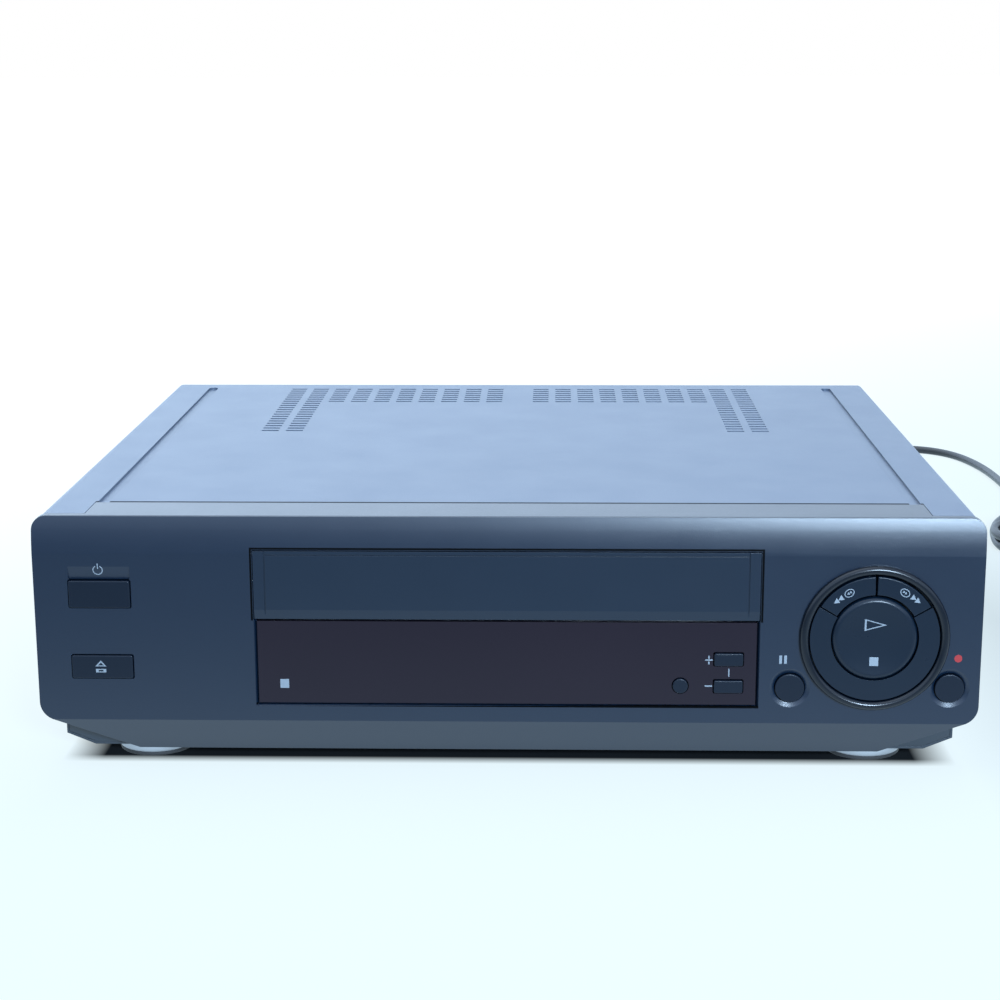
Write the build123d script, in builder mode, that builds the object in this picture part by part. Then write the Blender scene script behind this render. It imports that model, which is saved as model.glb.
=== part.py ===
"""Front-loading video cassette recorder: case, controls, tape deck, boards, sockets and mains lead.

Millimetres, +Z up. The origin is on the floor under the middle of the machine without its lead.
The front faces -Y. Depths are given behind the flat front face, so that 0 is that face.
"""

import os
from math import atan2, cos, degrees, pi, radians, sin, tan

from build123d import *

os.makedirs("parts", exist_ok=True)

# ---------------------------------------------------------------- driving dimensions
# case
panel_width = 385.0
case_height = 107.0
cover_margin = 2.3  # each side of the cover stands in from the front panel
cover_width = panel_width - 2 * cover_margin
cover_depth = 318.0
jack_reach = 8.0  # what stands out behind the cover
ring_proud = 2.7  # what stands out before the flat face
foot_height = 5.3
sheet = 1.0
bend_radius = 2.5

# front panel
wall = 2.3
rim_depth = 7.0
lip_depth = 10.7
lip_height = 15.9
lip_back = 12.0
strip_height = 15.2
strip_lean = 2.7
strip_bulge = 0.55
top_corner = 5.5
side_corner = 8.0
trim_height = 17.3  # the lower corners are cut off at a slant from here
trim_width = 38.5
flange_width = 343.0
flange_depth = 27.0
joint_line = 0.6
joint_depth = 3.2
seam = 0.3

# cassette door and display window
door_width = 205.4
door_height = 28.6
door_drop = 13.9
door_thick = 2.2
door_bevel = 4.0
door_line = 98.1
door_line_width = 0.5
door_axis_drop = 1.1
door_axis_depth = 1.2
door_pin_radius = 0.7
door_pin_length = 3.4
door_gap = 0.4
window_width = 203.4
window_drop = 43.4
window_foot = 28.8  # height of its lower edge above the floor
window_inset = 0.6
window_flange = 1.5
window_bevel = 1.6

# keys: (width, height) or diameter, then the place of the middle
power_key = (25.1, 11.4)
power_x = -165.6
power_drop = 32.1
eject_key = (25.1, 9.8)
eject_x = -165.6
eject_height = 44.1
channel_key = (11.8, 5.4)
channel_x = 90.5
channel_up_rise = 19.4  # above the window's lower edge
channel_down_rise = 7.9
setup_diameter = 6.3
setup_x = 71.0
setup_rise = 8.1
round_diameter = 12.0
pause_offset = (-33.6, -21.5)  # from the middle of the control cluster
record_offset = (31.2, -21.3)
key_gap = 0.35
key_proud = 0.9
key_travel = 1.0
key_corner = 0.8
key_flange = 1.0
stem_radius = 1.5
stem_end = 6.0
plunger_front = 7.2
switch_front = 8.0
switch_width = 6.0
dish_radius = 8.2
dish_depth = 0.9

# control cluster
cluster_x = 149.1
cluster_rise = 1.3  # above the middle of the flat face
ring_outer = 30.15
ring_inner = 26.7
ring_skirt = 0.5
ring_seat = 4.0
surround_outer = 26.2
surround_inner = 17.75
surround_proud = 1.3
surround_back = 1.5
back_ring_outer = 30.0
back_ring_inner = 14.0
segment_margin = 0.35
rocker_radius = 17.3
rocker_rim = 1.9
rocker_back = 2.4
rocker_pin = 1.1
rocker_hub = 10.9
rocker_axis_depth = 4.6
rocker_stem_at = 10.0

# front board
front_board_depth = 12.4
board_thick = 1.6

# feet
foot_x = 150.4
front_foot_depth = 30.4
rear_foot_depth = 285.0
front_foot_radius = 17.0
front_pad_radius = 15.8
pad_height = 1.8
rear_foot_radius = 9.0

# bottom chassis
chassis_half = 185.0
chassis_bevel_rise = 4.7
chassis_bevel_run = 11.5
chassis_side_top = 34.0
flange_top = 15.2
cover_low_edge = 21.0
chassis_front = 14.6
chassis_back = 315.0
post_radius = 4.0
spacer_radius = 3.0

# tape deck
deck_top = 30.0
deck_thick = 1.5
deck_half = 100.0
deck_front = 42.0
deck_back = 282.0
deck_post_x = 88.0
deck_post_depths = (58.0, 270.0)
slot_clear = 0.8  # the cassette's room in its holder, each way
cassette_width = 188.0
cassette_height = 25.0
holder_sheet = 0.8
holder_front = 33.0
holder_length = 96.0
holder_ledge = 28.0
holder_pin_radius = 1.8
holder_pin_depths = (50.0, 108.0)
load_travel = 78.0
lower_travel = 24.0
slider_gap = 0.6
slider_thick = 1.0
slider_front = 38.0
slider_length = 88.0
frame_gap = 0.8
frame_thick = 1.2
frame_back = 208.0
stud_radius = 1.5
stud_depths = (46.0, 118.0)
running_clear = 0.05
module = 1.0
loader_teeth = 16
loader_depth = 121.0

reel_spacing = 92.0
reel_depth = 160.0
reel_radius = 19.0
drum_depth = 243.0
drum_radius = 31.0
drum_lower = 20.0
drum_upper = 17.7
drum_tilt = 5.0
capstan_at = (52.0, 226.0)
capstan_radius = 2.0
flywheel_radius = 24.0
flywheel_z = (21.0, 26.5)
pinch_pivot = (82.0, 232.0)
pinch_arm_length = 22.8
pinch_rest_angle = 220.0
pinch_roller_radius = 6.5
tension_pivot = (-86.0, 224.0)
tension_arm_length = 26.0
guide_start = (31.0, 214.0)
guide_end = (46.0, 257.0)
cam_at = (-72.0, 85.0)
cam_teeth = 40
motor_teeth = 12
mesh_backlash = 0.1

# boards
board_z = 14.0
board_margin = 6.2  # from a board's outer edge to the outside of the cover
main_board_width = 176.0
main_board_depths = (30.0, 312.0)
power_board_width = 72.0
power_board_depths = (170.0, 300.0)

# sockets at the rear
antenna_steps = (18.0, 46.0)  # from the outer edge of the main board
antenna_bore = 6.0
antenna_pin = 1.6
antenna_z = 32.0
antenna_radius = 4.7
antenna_flange = 6.4
antenna_flange_thick = 1.4
phono_steps = (86.0, 102.0, 118.0)
phono_z = (28.0, 44.0)
phono_radius = 4.15
phono_collar = 5.3
phono_collar_length = 2.0
phono_bore = 1.6

# mains lead
cord_diameter = 5.2
cord_exit_step = 22.0  # from the outer edge of the power board
cord_exit_height = 42.0
relief_length = 29.0

# ---------------------------------------------------------------- derived places
front_y = (ring_proud - cover_depth - jack_reach) / 2
rear_panel_depth = cover_depth - 2 * sheet
floor_z = foot_height
door_top = case_height - door_drop
door_bottom = door_top - door_height
window_top = case_height - window_drop
window_bottom = window_foot
window_height = window_top - window_bottom
cluster_z = (case_height - strip_height + floor_z + lip_height) / 2 + cluster_rise
power_at = (power_x, case_height - power_drop)
eject_at = (eject_x, eject_height)
channel_up_at = (channel_x, window_bottom + channel_up_rise)
channel_down_at = (channel_x, window_bottom + channel_down_rise)
setup_at = (setup_x, window_bottom + setup_rise)
pause_at = (cluster_x + pause_offset[0], cluster_z + pause_offset[1])
record_at = (cluster_x + record_offset[0], cluster_z + record_offset[1])
front_board_half = panel_width / 2 - 4.5
front_board_low = floor_z + 14.7
front_board_top = case_height - 8.0
board_notch_half = door_width / 2 + 3.3
board_notch_low = door_bottom - 7.5
board_top = board_z + board_thick
deck_under = deck_top - deck_thick
slot_half = cassette_width / 2 + slot_clear
holder_outer = slot_half + holder_sheet
holder_floor = door_bottom + holder_sheet - 0.6
holder_ceiling = holder_floor + cassette_height + slot_clear
holder_pin_height = holder_floor + 15.3
slider_bottom = holder_pin_height - lower_travel - 6.0
frame_top = case_height - 9.0
stud_height = frame_top - 10.0
slider_inner = holder_outer + slider_gap
slider_outer = slider_inner + slider_thick
frame_inner = slider_outer + frame_gap
frame_outer = frame_inner + frame_thick
axle_z = slider_bottom - 1 - module * loader_teeth / 2
pinion_room = module * (loader_teeth + 2) / 2 + 1.2
main_board_x = (board_margin - cover_width / 2, board_margin - cover_width / 2 + main_board_width)
power_board_x = (cover_width / 2 - board_margin - power_board_width, cover_width / 2 - board_margin)
main_corner = (main_board_x[0], main_board_depths[0])
power_corner = (power_board_x[0], power_board_depths[0])
antenna_x = [main_board_x[0] + step for step in antenna_steps]
phono_x = [main_board_x[0] + step for step in phono_steps]
cord_exit = (power_board_x[1] - cord_exit_step, cord_exit_height)
cover_half = cover_width / 2
cover_inner = cover_half - sheet


def back(depth):
    """The Y of a depth behind the flat front face."""
    return front_y + depth


def facing(depth):
    """A plane parallel to the front face: x is X, y is Z, and its normal points to the front."""
    return Plane(origin=(0, back(depth), 0), x_dir=(1, 0, 0), z_dir=(0, -1, 0))


def save(piece, label):
    piece.part.label = label
    export_step(piece.part, f"parts/{label}.step")


def upright(x, depth, low, high, radius, mode=Mode.ADD):
    """A vertical cylinder at a depth, from one height to another."""
    with Locations((x, back(depth), low)):
        Cylinder(radius, high - low, align=(Align.CENTER, Align.CENTER, Align.MIN), mode=mode)


def block(x, depth, z, mode=Mode.ADD):
    """A box between two values of X, of depth and of height."""
    with Locations((x[0], back(depth[0]), z[0])):
        Box(
            x[1] - x[0], depth[1] - depth[0], z[1] - z[0],
            align=(Align.MIN, Align.MIN, Align.MIN), mode=mode,
        )


def gear_section(teeth, first_angle=0.0):
    """A wheel with straight-sided teeth of the common module, on the current sketch plane."""
    root = module * (teeth / 2 - 1.2)
    Circle(root)
    with PolarLocations(root - 0.2, teeth, start_angle=first_angle):
        Polygon((0, -0.95), (2.2, -0.3), (2.2, 0.3), (0, 0.95), align=None)


# ---------------------------------------------------------------- case
def panel_outline(inset=0.0):
    """The front panel seen from the front, shrunk all round by the inset."""
    half = panel_width / 2
    corner_z = floor_z + trim_height + 1.0
    with BuildSketch() as outline:
        with BuildLine():
            Polyline(
                (-half + trim_width, floor_z),
                (half - trim_width, floor_z),
                (half, corner_z),
                (half, case_height),
                (-half, case_height),
                (-half, corner_z),
                close=True,
            )
        make_face()
        fillet(vertices().group_by(Axis.Y)[-1], top_corner)
        fillet(vertices().group_by(Axis.Y)[1], side_corner)
        if inset:
            offset(amount=-inset, mode=Mode.REPLACE)
    return outline.sketch_local


with BuildPart() as panel_cavity:
    with BuildSketch(facing(lip_back)):
        add(panel_outline(wall))
    extrude(amount=lip_back - wall)
    with BuildSketch(Plane.YZ):
        with BuildLine():
            Polyline(
                (back(0), floor_z + lip_height + wall),
                (back(0), floor_z - wall),
                (back(lip_depth + 2 * wall), floor_z - wall),
                (back(wall), floor_z + lip_height + wall / 2),
                close=True,
            )
        make_face()
    extrude(amount=panel_width, both=True, mode=Mode.SUBTRACT)

with BuildPart() as front_panel:
    with BuildSketch(facing(lip_back)):
        add(panel_outline())
    extrude(amount=lip_back)
    # the top strip leans back and bulges a little
    with BuildSketch(Plane.YZ):
        strip_foot = case_height - strip_height
        with BuildLine():
            low = (back(0), strip_foot)
            middle = (back(strip_lean / 2 - strip_bulge), strip_foot + strip_height / 2)
            over = (back(1.1 * strip_lean), strip_foot + 1.1 * strip_height)
            ThreePointArc(low, middle, over)
            Polyline(over, (back(-1), over[1]), (back(-1), strip_foot), low)
        make_face()
    extrude(amount=panel_width, both=True, mode=Mode.SUBTRACT)
    # the lip slopes back to the bottom edge
    with BuildSketch(Plane.YZ):
        with BuildLine():
            Polyline(
                (back(0), floor_z + lip_height),
                (back(lip_depth), floor_z),
                (back(-1), floor_z),
                (back(-1), floor_z + lip_height),
                close=True,
            )
        make_face()
    extrude(amount=panel_width, both=True, mode=Mode.SUBTRACT)
    add(panel_cavity.part, mode=Mode.SUBTRACT)
    # above the lip the rim is shallower, and the case cover starts behind it
    rim_step = floor_z + trim_height + 2.0
    block((-panel_width, panel_width), (rim_depth, lip_back + 1), (rim_step, case_height + 1),
          mode=Mode.SUBTRACT)
    # joint line round the top and the sides
    with BuildSketch(facing(joint_depth + joint_line)):
        add(panel_outline())
        add(panel_outline(joint_line), mode=Mode.SUBTRACT)
        with Locations((0, floor_z)):
            Rectangle(panel_width, 2 * trim_height + 10, mode=Mode.SUBTRACT)
    extrude(amount=joint_line, mode=Mode.SUBTRACT)
    # top flange that the cover's front edge meets
    block((-flange_width / 2, flange_width / 2), (rim_depth - wall, flange_depth),
          (case_height - wall, case_height))
    # door and window openings
    with BuildSketch(facing(wall + 1)):
        with Locations((0, (door_top + door_bottom) / 2)):
            Rectangle(door_width + 2 * seam, door_height + 2 * door_gap)
        with Locations((0, (window_top + window_bottom) / 2)):
            Rectangle(window_width + 2 * seam, window_height + 2 * seam)
        with Locations((0, door_bottom - door_gap)):
            Rectangle(window_width + 2 * seam, 2 * door_gap)
    extrude(amount=wall + 2, mode=Mode.SUBTRACT)
    with BuildSketch(facing(window_bevel)):
        with Locations((0, (window_top + window_bottom) / 2)):
            Rectangle(window_width + 2 * seam, window_height + 2 * seam)
    extrude(amount=window_bevel, taper=-30, mode=Mode.SUBTRACT)
    # ears with the door's pivot holes
    for side in (-1, 1):
        near = door_width / 2 + seam
        far = near + door_pin_length + 0.6
        ear = (near, far) if side > 0 else (-far, -near)
        axis_z = door_top - door_axis_drop
        block(ear, (wall - 0.2, wall + 2), (axis_z - 3, axis_z + 3))
    with BuildSketch(Plane.YZ):
        with Locations((back(door_axis_depth), door_top - door_axis_drop)):
            Circle(door_pin_radius + running_clear)
    extrude(amount=door_width / 2 + seam + door_pin_length + 0.2, both=True, mode=Mode.SUBTRACT)
    # key openings
    with BuildSketch(facing(wall + 1)):
        for (width, height), spot in ((power_key, power_at), (eject_key, eject_at)):
            with Locations(spot):
                RectangleRounded(width + 2 * key_gap, height + 2 * key_gap, key_corner)
        with Locations(pause_at, record_at):
            Circle(round_diameter / 2 + key_gap)
        with Locations((cluster_x, cluster_z)):
            Circle(ring_inner + ring_skirt + 0.2)
    extrude(amount=wall + 2, mode=Mode.SUBTRACT)
    # dished rims round the two small round keys
    for x, z in (pause_at, record_at):
        with Locations(Location((x, back(dish_depth), z), (90, 0, 0))):
            Cone(
                round_diameter / 2 + key_gap, dish_radius, dish_depth,
                align=(Align.CENTER, Align.CENTER, Align.MIN), mode=Mode.SUBTRACT,
            )
    # finger scoop over the power key
    scoop_foot = power_at[1] + power_key[1] / 2 + key_gap
    with BuildSketch(Plane.YZ.offset(power_at[0] - power_key[0] / 2)):
        with BuildLine():
            Polyline(
                (back(-1), scoop_foot), (back(1.1), scoop_foot), (back(0), scoop_foot + 5.5),
                (back(-1), scoop_foot + 5.5), close=True,
            )
        make_face()
    extrude(amount=power_key[0], mode=Mode.SUBTRACT)
    # posts that carry the front board
    board_posts = [
        (side * x, z) for side in (-1, 1) for x, z in (
            (board_notch_half + 4, board_notch_low + 3), (board_notch_half + 4, front_board_top - 3),
            (front_board_half - 5, front_board_top - 3), (front_board_half - 1.5, front_board_low + 5.5),
        )
    ]
    with BuildSketch(facing(front_board_depth)):
        with Locations(*board_posts):
            Circle(2.5)
    extrude(amount=front_board_depth - wall + 0.3)
save(front_panel, "front_panel")

with BuildPart() as top_cover:
    with BuildSketch(facing(cover_depth)):
        with BuildLine():
            FilletPolyline(
                (-cover_half + sheet / 2, cover_low_edge),
                (-cover_half + sheet / 2, case_height - sheet / 2),
                (cover_half - sheet / 2, case_height - sheet / 2),
                (cover_half - sheet / 2, cover_low_edge),
                radius=bend_radius,
            )
        trace(line_width=sheet)
    extrude(amount=cover_depth - rim_depth - seam)
    flange_edge = flange_width / 2 + seam
    flange_heights = (case_height - bend_radius, case_height + 1)
    block((-flange_edge, flange_edge), (0, flange_depth + seam), flange_heights, mode=Mode.SUBTRACT)
    for side in (-1, 1):
        edge = (side * cover_half - 5, side * cover_half + 5)
        block(edge, (0, lip_back + seam), (0, rim_step + seam), mode=Mode.SUBTRACT)
    # pressed grooves along both sides of the top
    groove_x = 168.3
    groove_width = 4.9
    groove_depth = 1.2
    groove_end = 308.0
    for x in (-groove_x, groove_x):
        pressed = (x - groove_width / 2 - sheet, x + groove_width / 2 + sheet)
        groove_heights = (case_height - groove_depth - sheet, case_height - sheet / 2)
        block(pressed, (flange_depth + seam, groove_end + sheet), groove_heights)
        with BuildSketch(Plane.XY.offset(case_height - groove_depth)):
            start = back(flange_depth)
            end = back(groove_end)
            with Locations((x, (start + end - groove_width / 2) / 2)):
                Rectangle(groove_width, end - groove_width / 2 - start)
            with Locations((x, end - groove_width / 2)):
                Circle(groove_width / 2)
        extrude(amount=groove_depth + 1, mode=Mode.SUBTRACT)
    # ventilation slots in columns
    slot_length = 8.3
    slot_width = 2.7
    slot_pitch = 6.27
    column_pitch = 12.0
    last_slot = 303.5
    with BuildSketch(Plane.XY.offset(case_height - 2 * sheet)):
        for column in range(10):
            rows = 7 if column < 8 else 20
            for side in (-1, 1):
                x = side * (12.35 + column_pitch * column)
                with Locations(*[(x, back(last_slot - slot_pitch * row)) for row in range(rows)]):
                    Rectangle(slot_length, slot_width)
    extrude(amount=3 * sheet, mode=Mode.SUBTRACT)
    # side screw holes
    side_screw_depths = (70.0, 250.0)
    side_screw_z = 27.5
    with BuildSketch(Plane.YZ):
        with Locations(*[(back(depth), side_screw_z) for depth in side_screw_depths]):
            Circle(1.7)
    extrude(amount=cover_width, both=True, mode=Mode.SUBTRACT)
save(top_cover, "top_cover")

main_board_spacers = [(-168, 44), (-168, 298), (-22, 44), (-22, 298)]
power_board_spacers = [(118, 176), (168, 176), (118, 294), (168, 294)]
rear_screw_x = (-150.0, 0.0, 130.0)
rear_screw_z = 11.0

with BuildPart() as bottom_chassis:
    mid = floor_z + sheet / 2
    with BuildSketch(facing(chassis_back)):
        with BuildLine():
            Polyline(
                (-chassis_half, chassis_side_top),
                (-chassis_half, mid + chassis_bevel_rise),
                (-chassis_half + chassis_bevel_run, mid),
                (chassis_half - chassis_bevel_run, mid),
                (chassis_half, mid + chassis_bevel_rise),
                (chassis_half, chassis_side_top),
            )
        trace(line_width=sheet)
    extrude(amount=chassis_back - chassis_front)
    # rear flange that the rear panel is screwed to
    block((-172, 172), (chassis_back - sheet, rear_panel_depth), (floor_z + sheet / 2, flange_top))
    with BuildSketch(facing(rear_panel_depth + 1)):
        with Locations(*[(x, rear_screw_z) for x in rear_screw_x]):
            Circle(1.52)
    extrude(amount=4, mode=Mode.SUBTRACT)
    # pressed ears that the cover is screwed to
    for depth in side_screw_depths:
        for side in (-1, 1):
            near = chassis_half + sheet / 2
            ear = (near, cover_inner) if side > 0 else (-cover_inner, -near)
            block(ear, (depth - 6, depth + 6), (side_screw_z - 5, side_screw_z + 5))
    with BuildSketch(Plane.YZ):
        with Locations(*[(back(depth), side_screw_z) for depth in side_screw_depths]):
            Circle(1.52)
    extrude(amount=cover_width, both=True, mode=Mode.SUBTRACT)
    # floor vents
    with BuildSketch(Plane.XY.offset(floor_z - 1)):
        with GridLocations(9, 60, 9, 3):
            SlotOverall(40, 3.5, rotation=90)
    extrude(amount=4, mode=Mode.SUBTRACT)
    # pressed posts for the tape deck and spacers for the boards
    for depth in deck_post_depths:
        for x in (-deck_post_x, deck_post_x):
            upright(x, depth, floor_z + sheet / 2, deck_under, post_radius)
            upright(x, depth, deck_under - 9, deck_under + 1, 1.52, Mode.SUBTRACT)
    for x, depth in main_board_spacers + power_board_spacers:
        upright(x, depth, floor_z + sheet / 2, board_z, spacer_radius)
save(bottom_chassis, "bottom_chassis")

rear_vent_at = (60, 75)
rear_vent_steps = (7, 26)
rear_vent_rows = (12, 2)  # slots across, slots up
rear_vent_slot = (20, 3)

with BuildPart() as rear_panel:
    with BuildSketch(facing(rear_panel_depth + sheet)):
        width = 2 * (cover_inner - 0.2)
        low = floor_z + sheet
        high = case_height - sheet - 0.2
        with Locations((0, (low + high) / 2)):
            Rectangle(width, high - low)
        corners = vertices().group_by(Axis.Y)
        chamfer(corners[0], 12)
        fillet(vertices().group_by(Axis.Y)[-1], bend_radius)
        with Locations(*[(x, antenna_z) for x in antenna_x]):
            Circle(antenna_radius + 0.5, mode=Mode.SUBTRACT)
        with Locations(*[(x, z) for x in phono_x for z in phono_z]):
            Circle(phono_collar + 0.4, mode=Mode.SUBTRACT)
        with Locations(*[(x, rear_screw_z) for x in rear_screw_x]):
            Circle(1.52, mode=Mode.SUBTRACT)
        with Locations((cord_exit[0], cord_exit[1])):
            Rectangle(9.0, 7.0, mode=Mode.SUBTRACT)
        with Locations(rear_vent_at):
            with GridLocations(*rear_vent_steps, *rear_vent_rows):
                SlotOverall(*rear_vent_slot, rotation=90, mode=Mode.SUBTRACT)
    extrude(amount=sheet)
save(rear_panel, "rear_panel")

with BuildPart() as front_feet:
    for x in (-foot_x, foot_x):
        upright(x, front_foot_depth, pad_height, floor_z, front_foot_radius)
    fillet(edges().filter_by(GeomType.CIRCLE).group_by(Axis.Z)[0], 1.2)
save(front_feet, "front_feet")

with BuildPart() as rubber_feet:
    for x in (-foot_x, foot_x):
        upright(x, front_foot_depth, 0, pad_height, front_pad_radius)
        upright(x, rear_foot_depth, 0, floor_z, rear_foot_radius)
    fillet(edges().filter_by(GeomType.CIRCLE).group_by(Axis.Z)[0], 0.6)
save(rubber_feet, "rubber_feet")

# ---------------------------------------------------------------- front parts
with BuildPart() as cassette_door:
    middle_z = (door_top + door_bottom) / 2
    with BuildSketch(facing(door_thick)):
        with Locations((0, middle_z)):
            Rectangle(door_width, door_height)
    extrude(amount=door_thick)
    chamfer(edges().filter_by(Axis.X).group_by(Axis.Y)[-1].sort_by(Axis.Z)[-1], 0.5)
    # the face is bevelled along its lower edge and has a line near each end
    with BuildSketch(Plane.YZ):
        with BuildLine():
            Polyline(
                (back(-1), door_bottom + door_bevel), (back(0), door_bottom + door_bevel),
                (back(0.7), door_bottom), (back(-1), door_bottom), close=True,
            )
        make_face()
    extrude(amount=door_width, both=True, mode=Mode.SUBTRACT)
    with BuildSketch(facing(0.4)):
        with Locations((-door_line, middle_z), (door_line, middle_z)):
            Rectangle(door_line_width, door_height + 1)
        with Locations((0, door_top - 1.6)):
            Rectangle(2 * door_line, 0.4)
    extrude(amount=1, mode=Mode.SUBTRACT)
    # pivot pins
    with BuildSketch(Plane.YZ.offset(-door_width / 2 - door_pin_length)):
        with Locations((back(door_axis_depth), door_top - door_axis_drop)):
            Circle(door_pin_radius)
    extrude(amount=door_width + 2 * door_pin_length)
save(cassette_door, "cassette_door")

window_back = wall + window_flange

with BuildPart() as display_window:
    middle_z = (window_top + window_bottom) / 2
    with BuildSketch(facing(wall)):
        with Locations((0, middle_z)):
            Rectangle(window_width, window_height)
    extrude(amount=wall - window_inset)
    with BuildSketch(facing(window_back)):
        with Locations((0, middle_z - 0.7)):
            Rectangle(window_width + 5, window_height + 1.0)
    extrude(amount=window_flange)
    with BuildSketch(facing(window_back + 1)):
        with Locations(channel_up_at, channel_down_at):
            RectangleRounded(channel_key[0] + 2 * key_gap, channel_key[1] + 2 * key_gap, key_corner)
        with Locations(setup_at):
            Circle(setup_diameter / 2 + key_gap)
    extrude(amount=window_back + 2, mode=Mode.SUBTRACT)
save(display_window, "display_window")

switch_spots = []


def push_key(label, size, at, seat, proud=key_proud):
    """A key cap in its opening, with a flange behind the wall that it seats on and a stem to its switch."""
    x, z = at
    switch_spots.append(at)
    round_cap = isinstance(size, float)
    flange_front = seat + seam
    with BuildPart() as key:
        with BuildSketch(facing(flange_front)):
            with Locations((x, z)):
                if round_cap:
                    Circle(size / 2)
                else:
                    RectangleRounded(*size, key_corner)
        extrude(amount=flange_front + proud)
        fillet(faces().sort_by(Axis.Y)[0].edges(), 0.5)
        with BuildSketch(facing(flange_front + key_flange)):
            with Locations((x, z)):
                if round_cap:
                    Circle(size / 2 + 1)
                else:
                    Rectangle(size[0] + 2, size[1] + 2)
        extrude(amount=key_flange)
        with BuildSketch(facing(stem_end)):
            with Locations((x, z)):
                Circle(stem_radius)
        extrude(amount=stem_end - flange_front)
    save(key, label)


push_key("power_button", power_key, power_at, wall)
push_key("eject_button", eject_key, eject_at, wall)
push_key("pause_button", round_diameter, pause_at, wall, 0.4)
push_key("record_button", round_diameter, record_at, wall, 0.4)
push_key("setup_button", setup_diameter, setup_at, window_back, 0.3)
push_key("channel_up_button", channel_key, channel_up_at, window_back, 0.5)
push_key("channel_down_button", channel_key, channel_down_at, window_back, 0.5)

cluster_front = Plane(origin=(cluster_x, front_y, cluster_z), x_dir=(1, 0, 0), z_dir=(0, 0, 1))
cluster_axis = Axis((cluster_x, front_y, cluster_z), (0, 1, 0))


def cluster_plane(depth):
    """A front-facing plane with its origin on the cluster's middle."""
    return Plane(origin=(cluster_x, back(depth), cluster_z), x_dir=(1, 0, 0), z_dir=(0, -1, 0))


with BuildPart() as control_ring:
    with BuildSketch(cluster_front):
        with BuildLine():
            crown = ((ring_inner + ring_outer) / 2, -ring_proud)
            ThreePointArc((ring_inner, -1.2), crown, (ring_outer, 0))
            Polyline(
                (ring_outer, 0), (ring_inner + ring_skirt, 0), (ring_inner + ring_skirt, ring_seat),
                (ring_inner, ring_seat), (ring_inner, -1.2),
            )
        make_face()
    revolve(axis=cluster_axis)
save(control_ring, "control_ring")


def sector_corners(first, last):
    """A wedge between two angles that reaches past the cluster."""
    reach = 2 * surround_outer
    angles = [radians(first + (last - first) * step / 4) for step in range(5)]
    return [(0, 0)] + [(reach * cos(angle), reach * sin(angle)) for angle in angles]


key_first, key_middle, key_last = 30.0, 90.0, 150.0
margin_angle = 1.0
segment_stem = (surround_inner + surround_outer) / 2
segments = (
    ("forward_button", key_first + margin_angle, key_middle - margin_angle, 60.0),
    ("rewind_button", key_middle + margin_angle, key_last - margin_angle, 120.0),
)

with BuildPart() as control_surround:
    with BuildSketch(cluster_plane(ring_seat)):
        Circle(surround_outer)
        Circle(surround_inner, mode=Mode.SUBTRACT)
        Polygon(*sector_corners(key_first, key_last), align=None, mode=Mode.SUBTRACT)
    extrude(amount=ring_seat + surround_proud)
    with BuildSketch(cluster_plane(ring_seat + surround_back)):
        Circle(back_ring_outer)
        Circle(back_ring_inner, mode=Mode.SUBTRACT)
    extrude(amount=surround_back)
    # bearings of the rocker
    for side in (-1, 1):
        near, far = rocker_hub + 0.4, rocker_hub + 4.1
        bearing = (near, far) if side > 0 else (-far, -near)
        x = [cluster_x + value for value in bearing]
        block(x, (rocker_back + 0.8, rocker_axis_depth + 1.7), (cluster_z - 2.6, cluster_z + 2.6))
    with BuildSketch(Plane.YZ.offset(cluster_x)):
        with Locations((back(rocker_axis_depth), cluster_z)):
            Circle(rocker_pin + running_clear)
    extrude(amount=rocker_hub + 3.6, both=True, mode=Mode.SUBTRACT)
    with BuildSketch(cluster_plane(ring_seat + surround_back + 1)):
        for _, _, _, angle in segments:
            with Locations((segment_stem * cos(radians(angle)), segment_stem * sin(radians(angle)))):
                Circle(stem_radius + seam)
    extrude(amount=surround_back + 2, mode=Mode.SUBTRACT)
save(control_surround, "control_surround")

for label, first, last, angle in segments:
    spot = (segment_stem * cos(radians(angle)), segment_stem * sin(radians(angle)))
    switch_spots.append((cluster_x + spot[0], cluster_z + spot[1]))
    key_back = ring_seat - key_travel - seam
    with BuildPart() as segment_key:
        with BuildSketch(cluster_plane(key_back)):
            Circle(surround_outer - segment_margin)
            Circle(surround_inner + segment_margin, mode=Mode.SUBTRACT)
            Polygon(*sector_corners(first, last), align=None, mode=Mode.INTERSECT)
        extrude(amount=key_back + surround_proud)
        fillet(faces().sort_by(Axis.Y)[0].edges(), 0.5)
        with BuildSketch(cluster_plane(stem_end)):
            with Locations(spot):
                Circle(stem_radius)
        extrude(amount=stem_end - key_back)
    save(segment_key, label)

with BuildPart() as play_stop_rocker:
    with BuildSketch(cluster_front):
        rim = rocker_radius - 2.6
        edge = (rocker_radius, -0.3)
        with BuildLine():
            ThreePointArc((0, -0.9), (rim / 2, -1.15), (rim, -rocker_rim))
            ThreePointArc((rim, -rocker_rim), (rocker_radius - 0.8, -rocker_rim + 0.4), edge)
            Polyline(edge, (rocker_radius, rocker_back), (0, rocker_back), (0, -0.9))
        make_face()
    revolve(axis=cluster_axis)
    hub_x = (cluster_x - rocker_hub, cluster_x + rocker_hub)
    block(hub_x, (rocker_back - 0.5, rocker_axis_depth + 1.3), (cluster_z - 1.6, cluster_z + 1.6))
    with BuildSketch(Plane.YZ.offset(cluster_x)):
        with Locations((back(rocker_axis_depth), cluster_z)):
            Circle(rocker_pin)
    extrude(amount=rocker_hub + 3, both=True)
    with BuildSketch(cluster_plane(stem_end)):
        with Locations((0, rocker_stem_at), (0, -rocker_stem_at)):
            Circle(stem_radius)
    extrude(amount=stem_end - rocker_back + 0.5)
save(play_stop_rocker, "play_stop_rocker")
for side in (-1, 1):
    switch_spots.append((cluster_x, cluster_z + side * rocker_stem_at))

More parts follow.
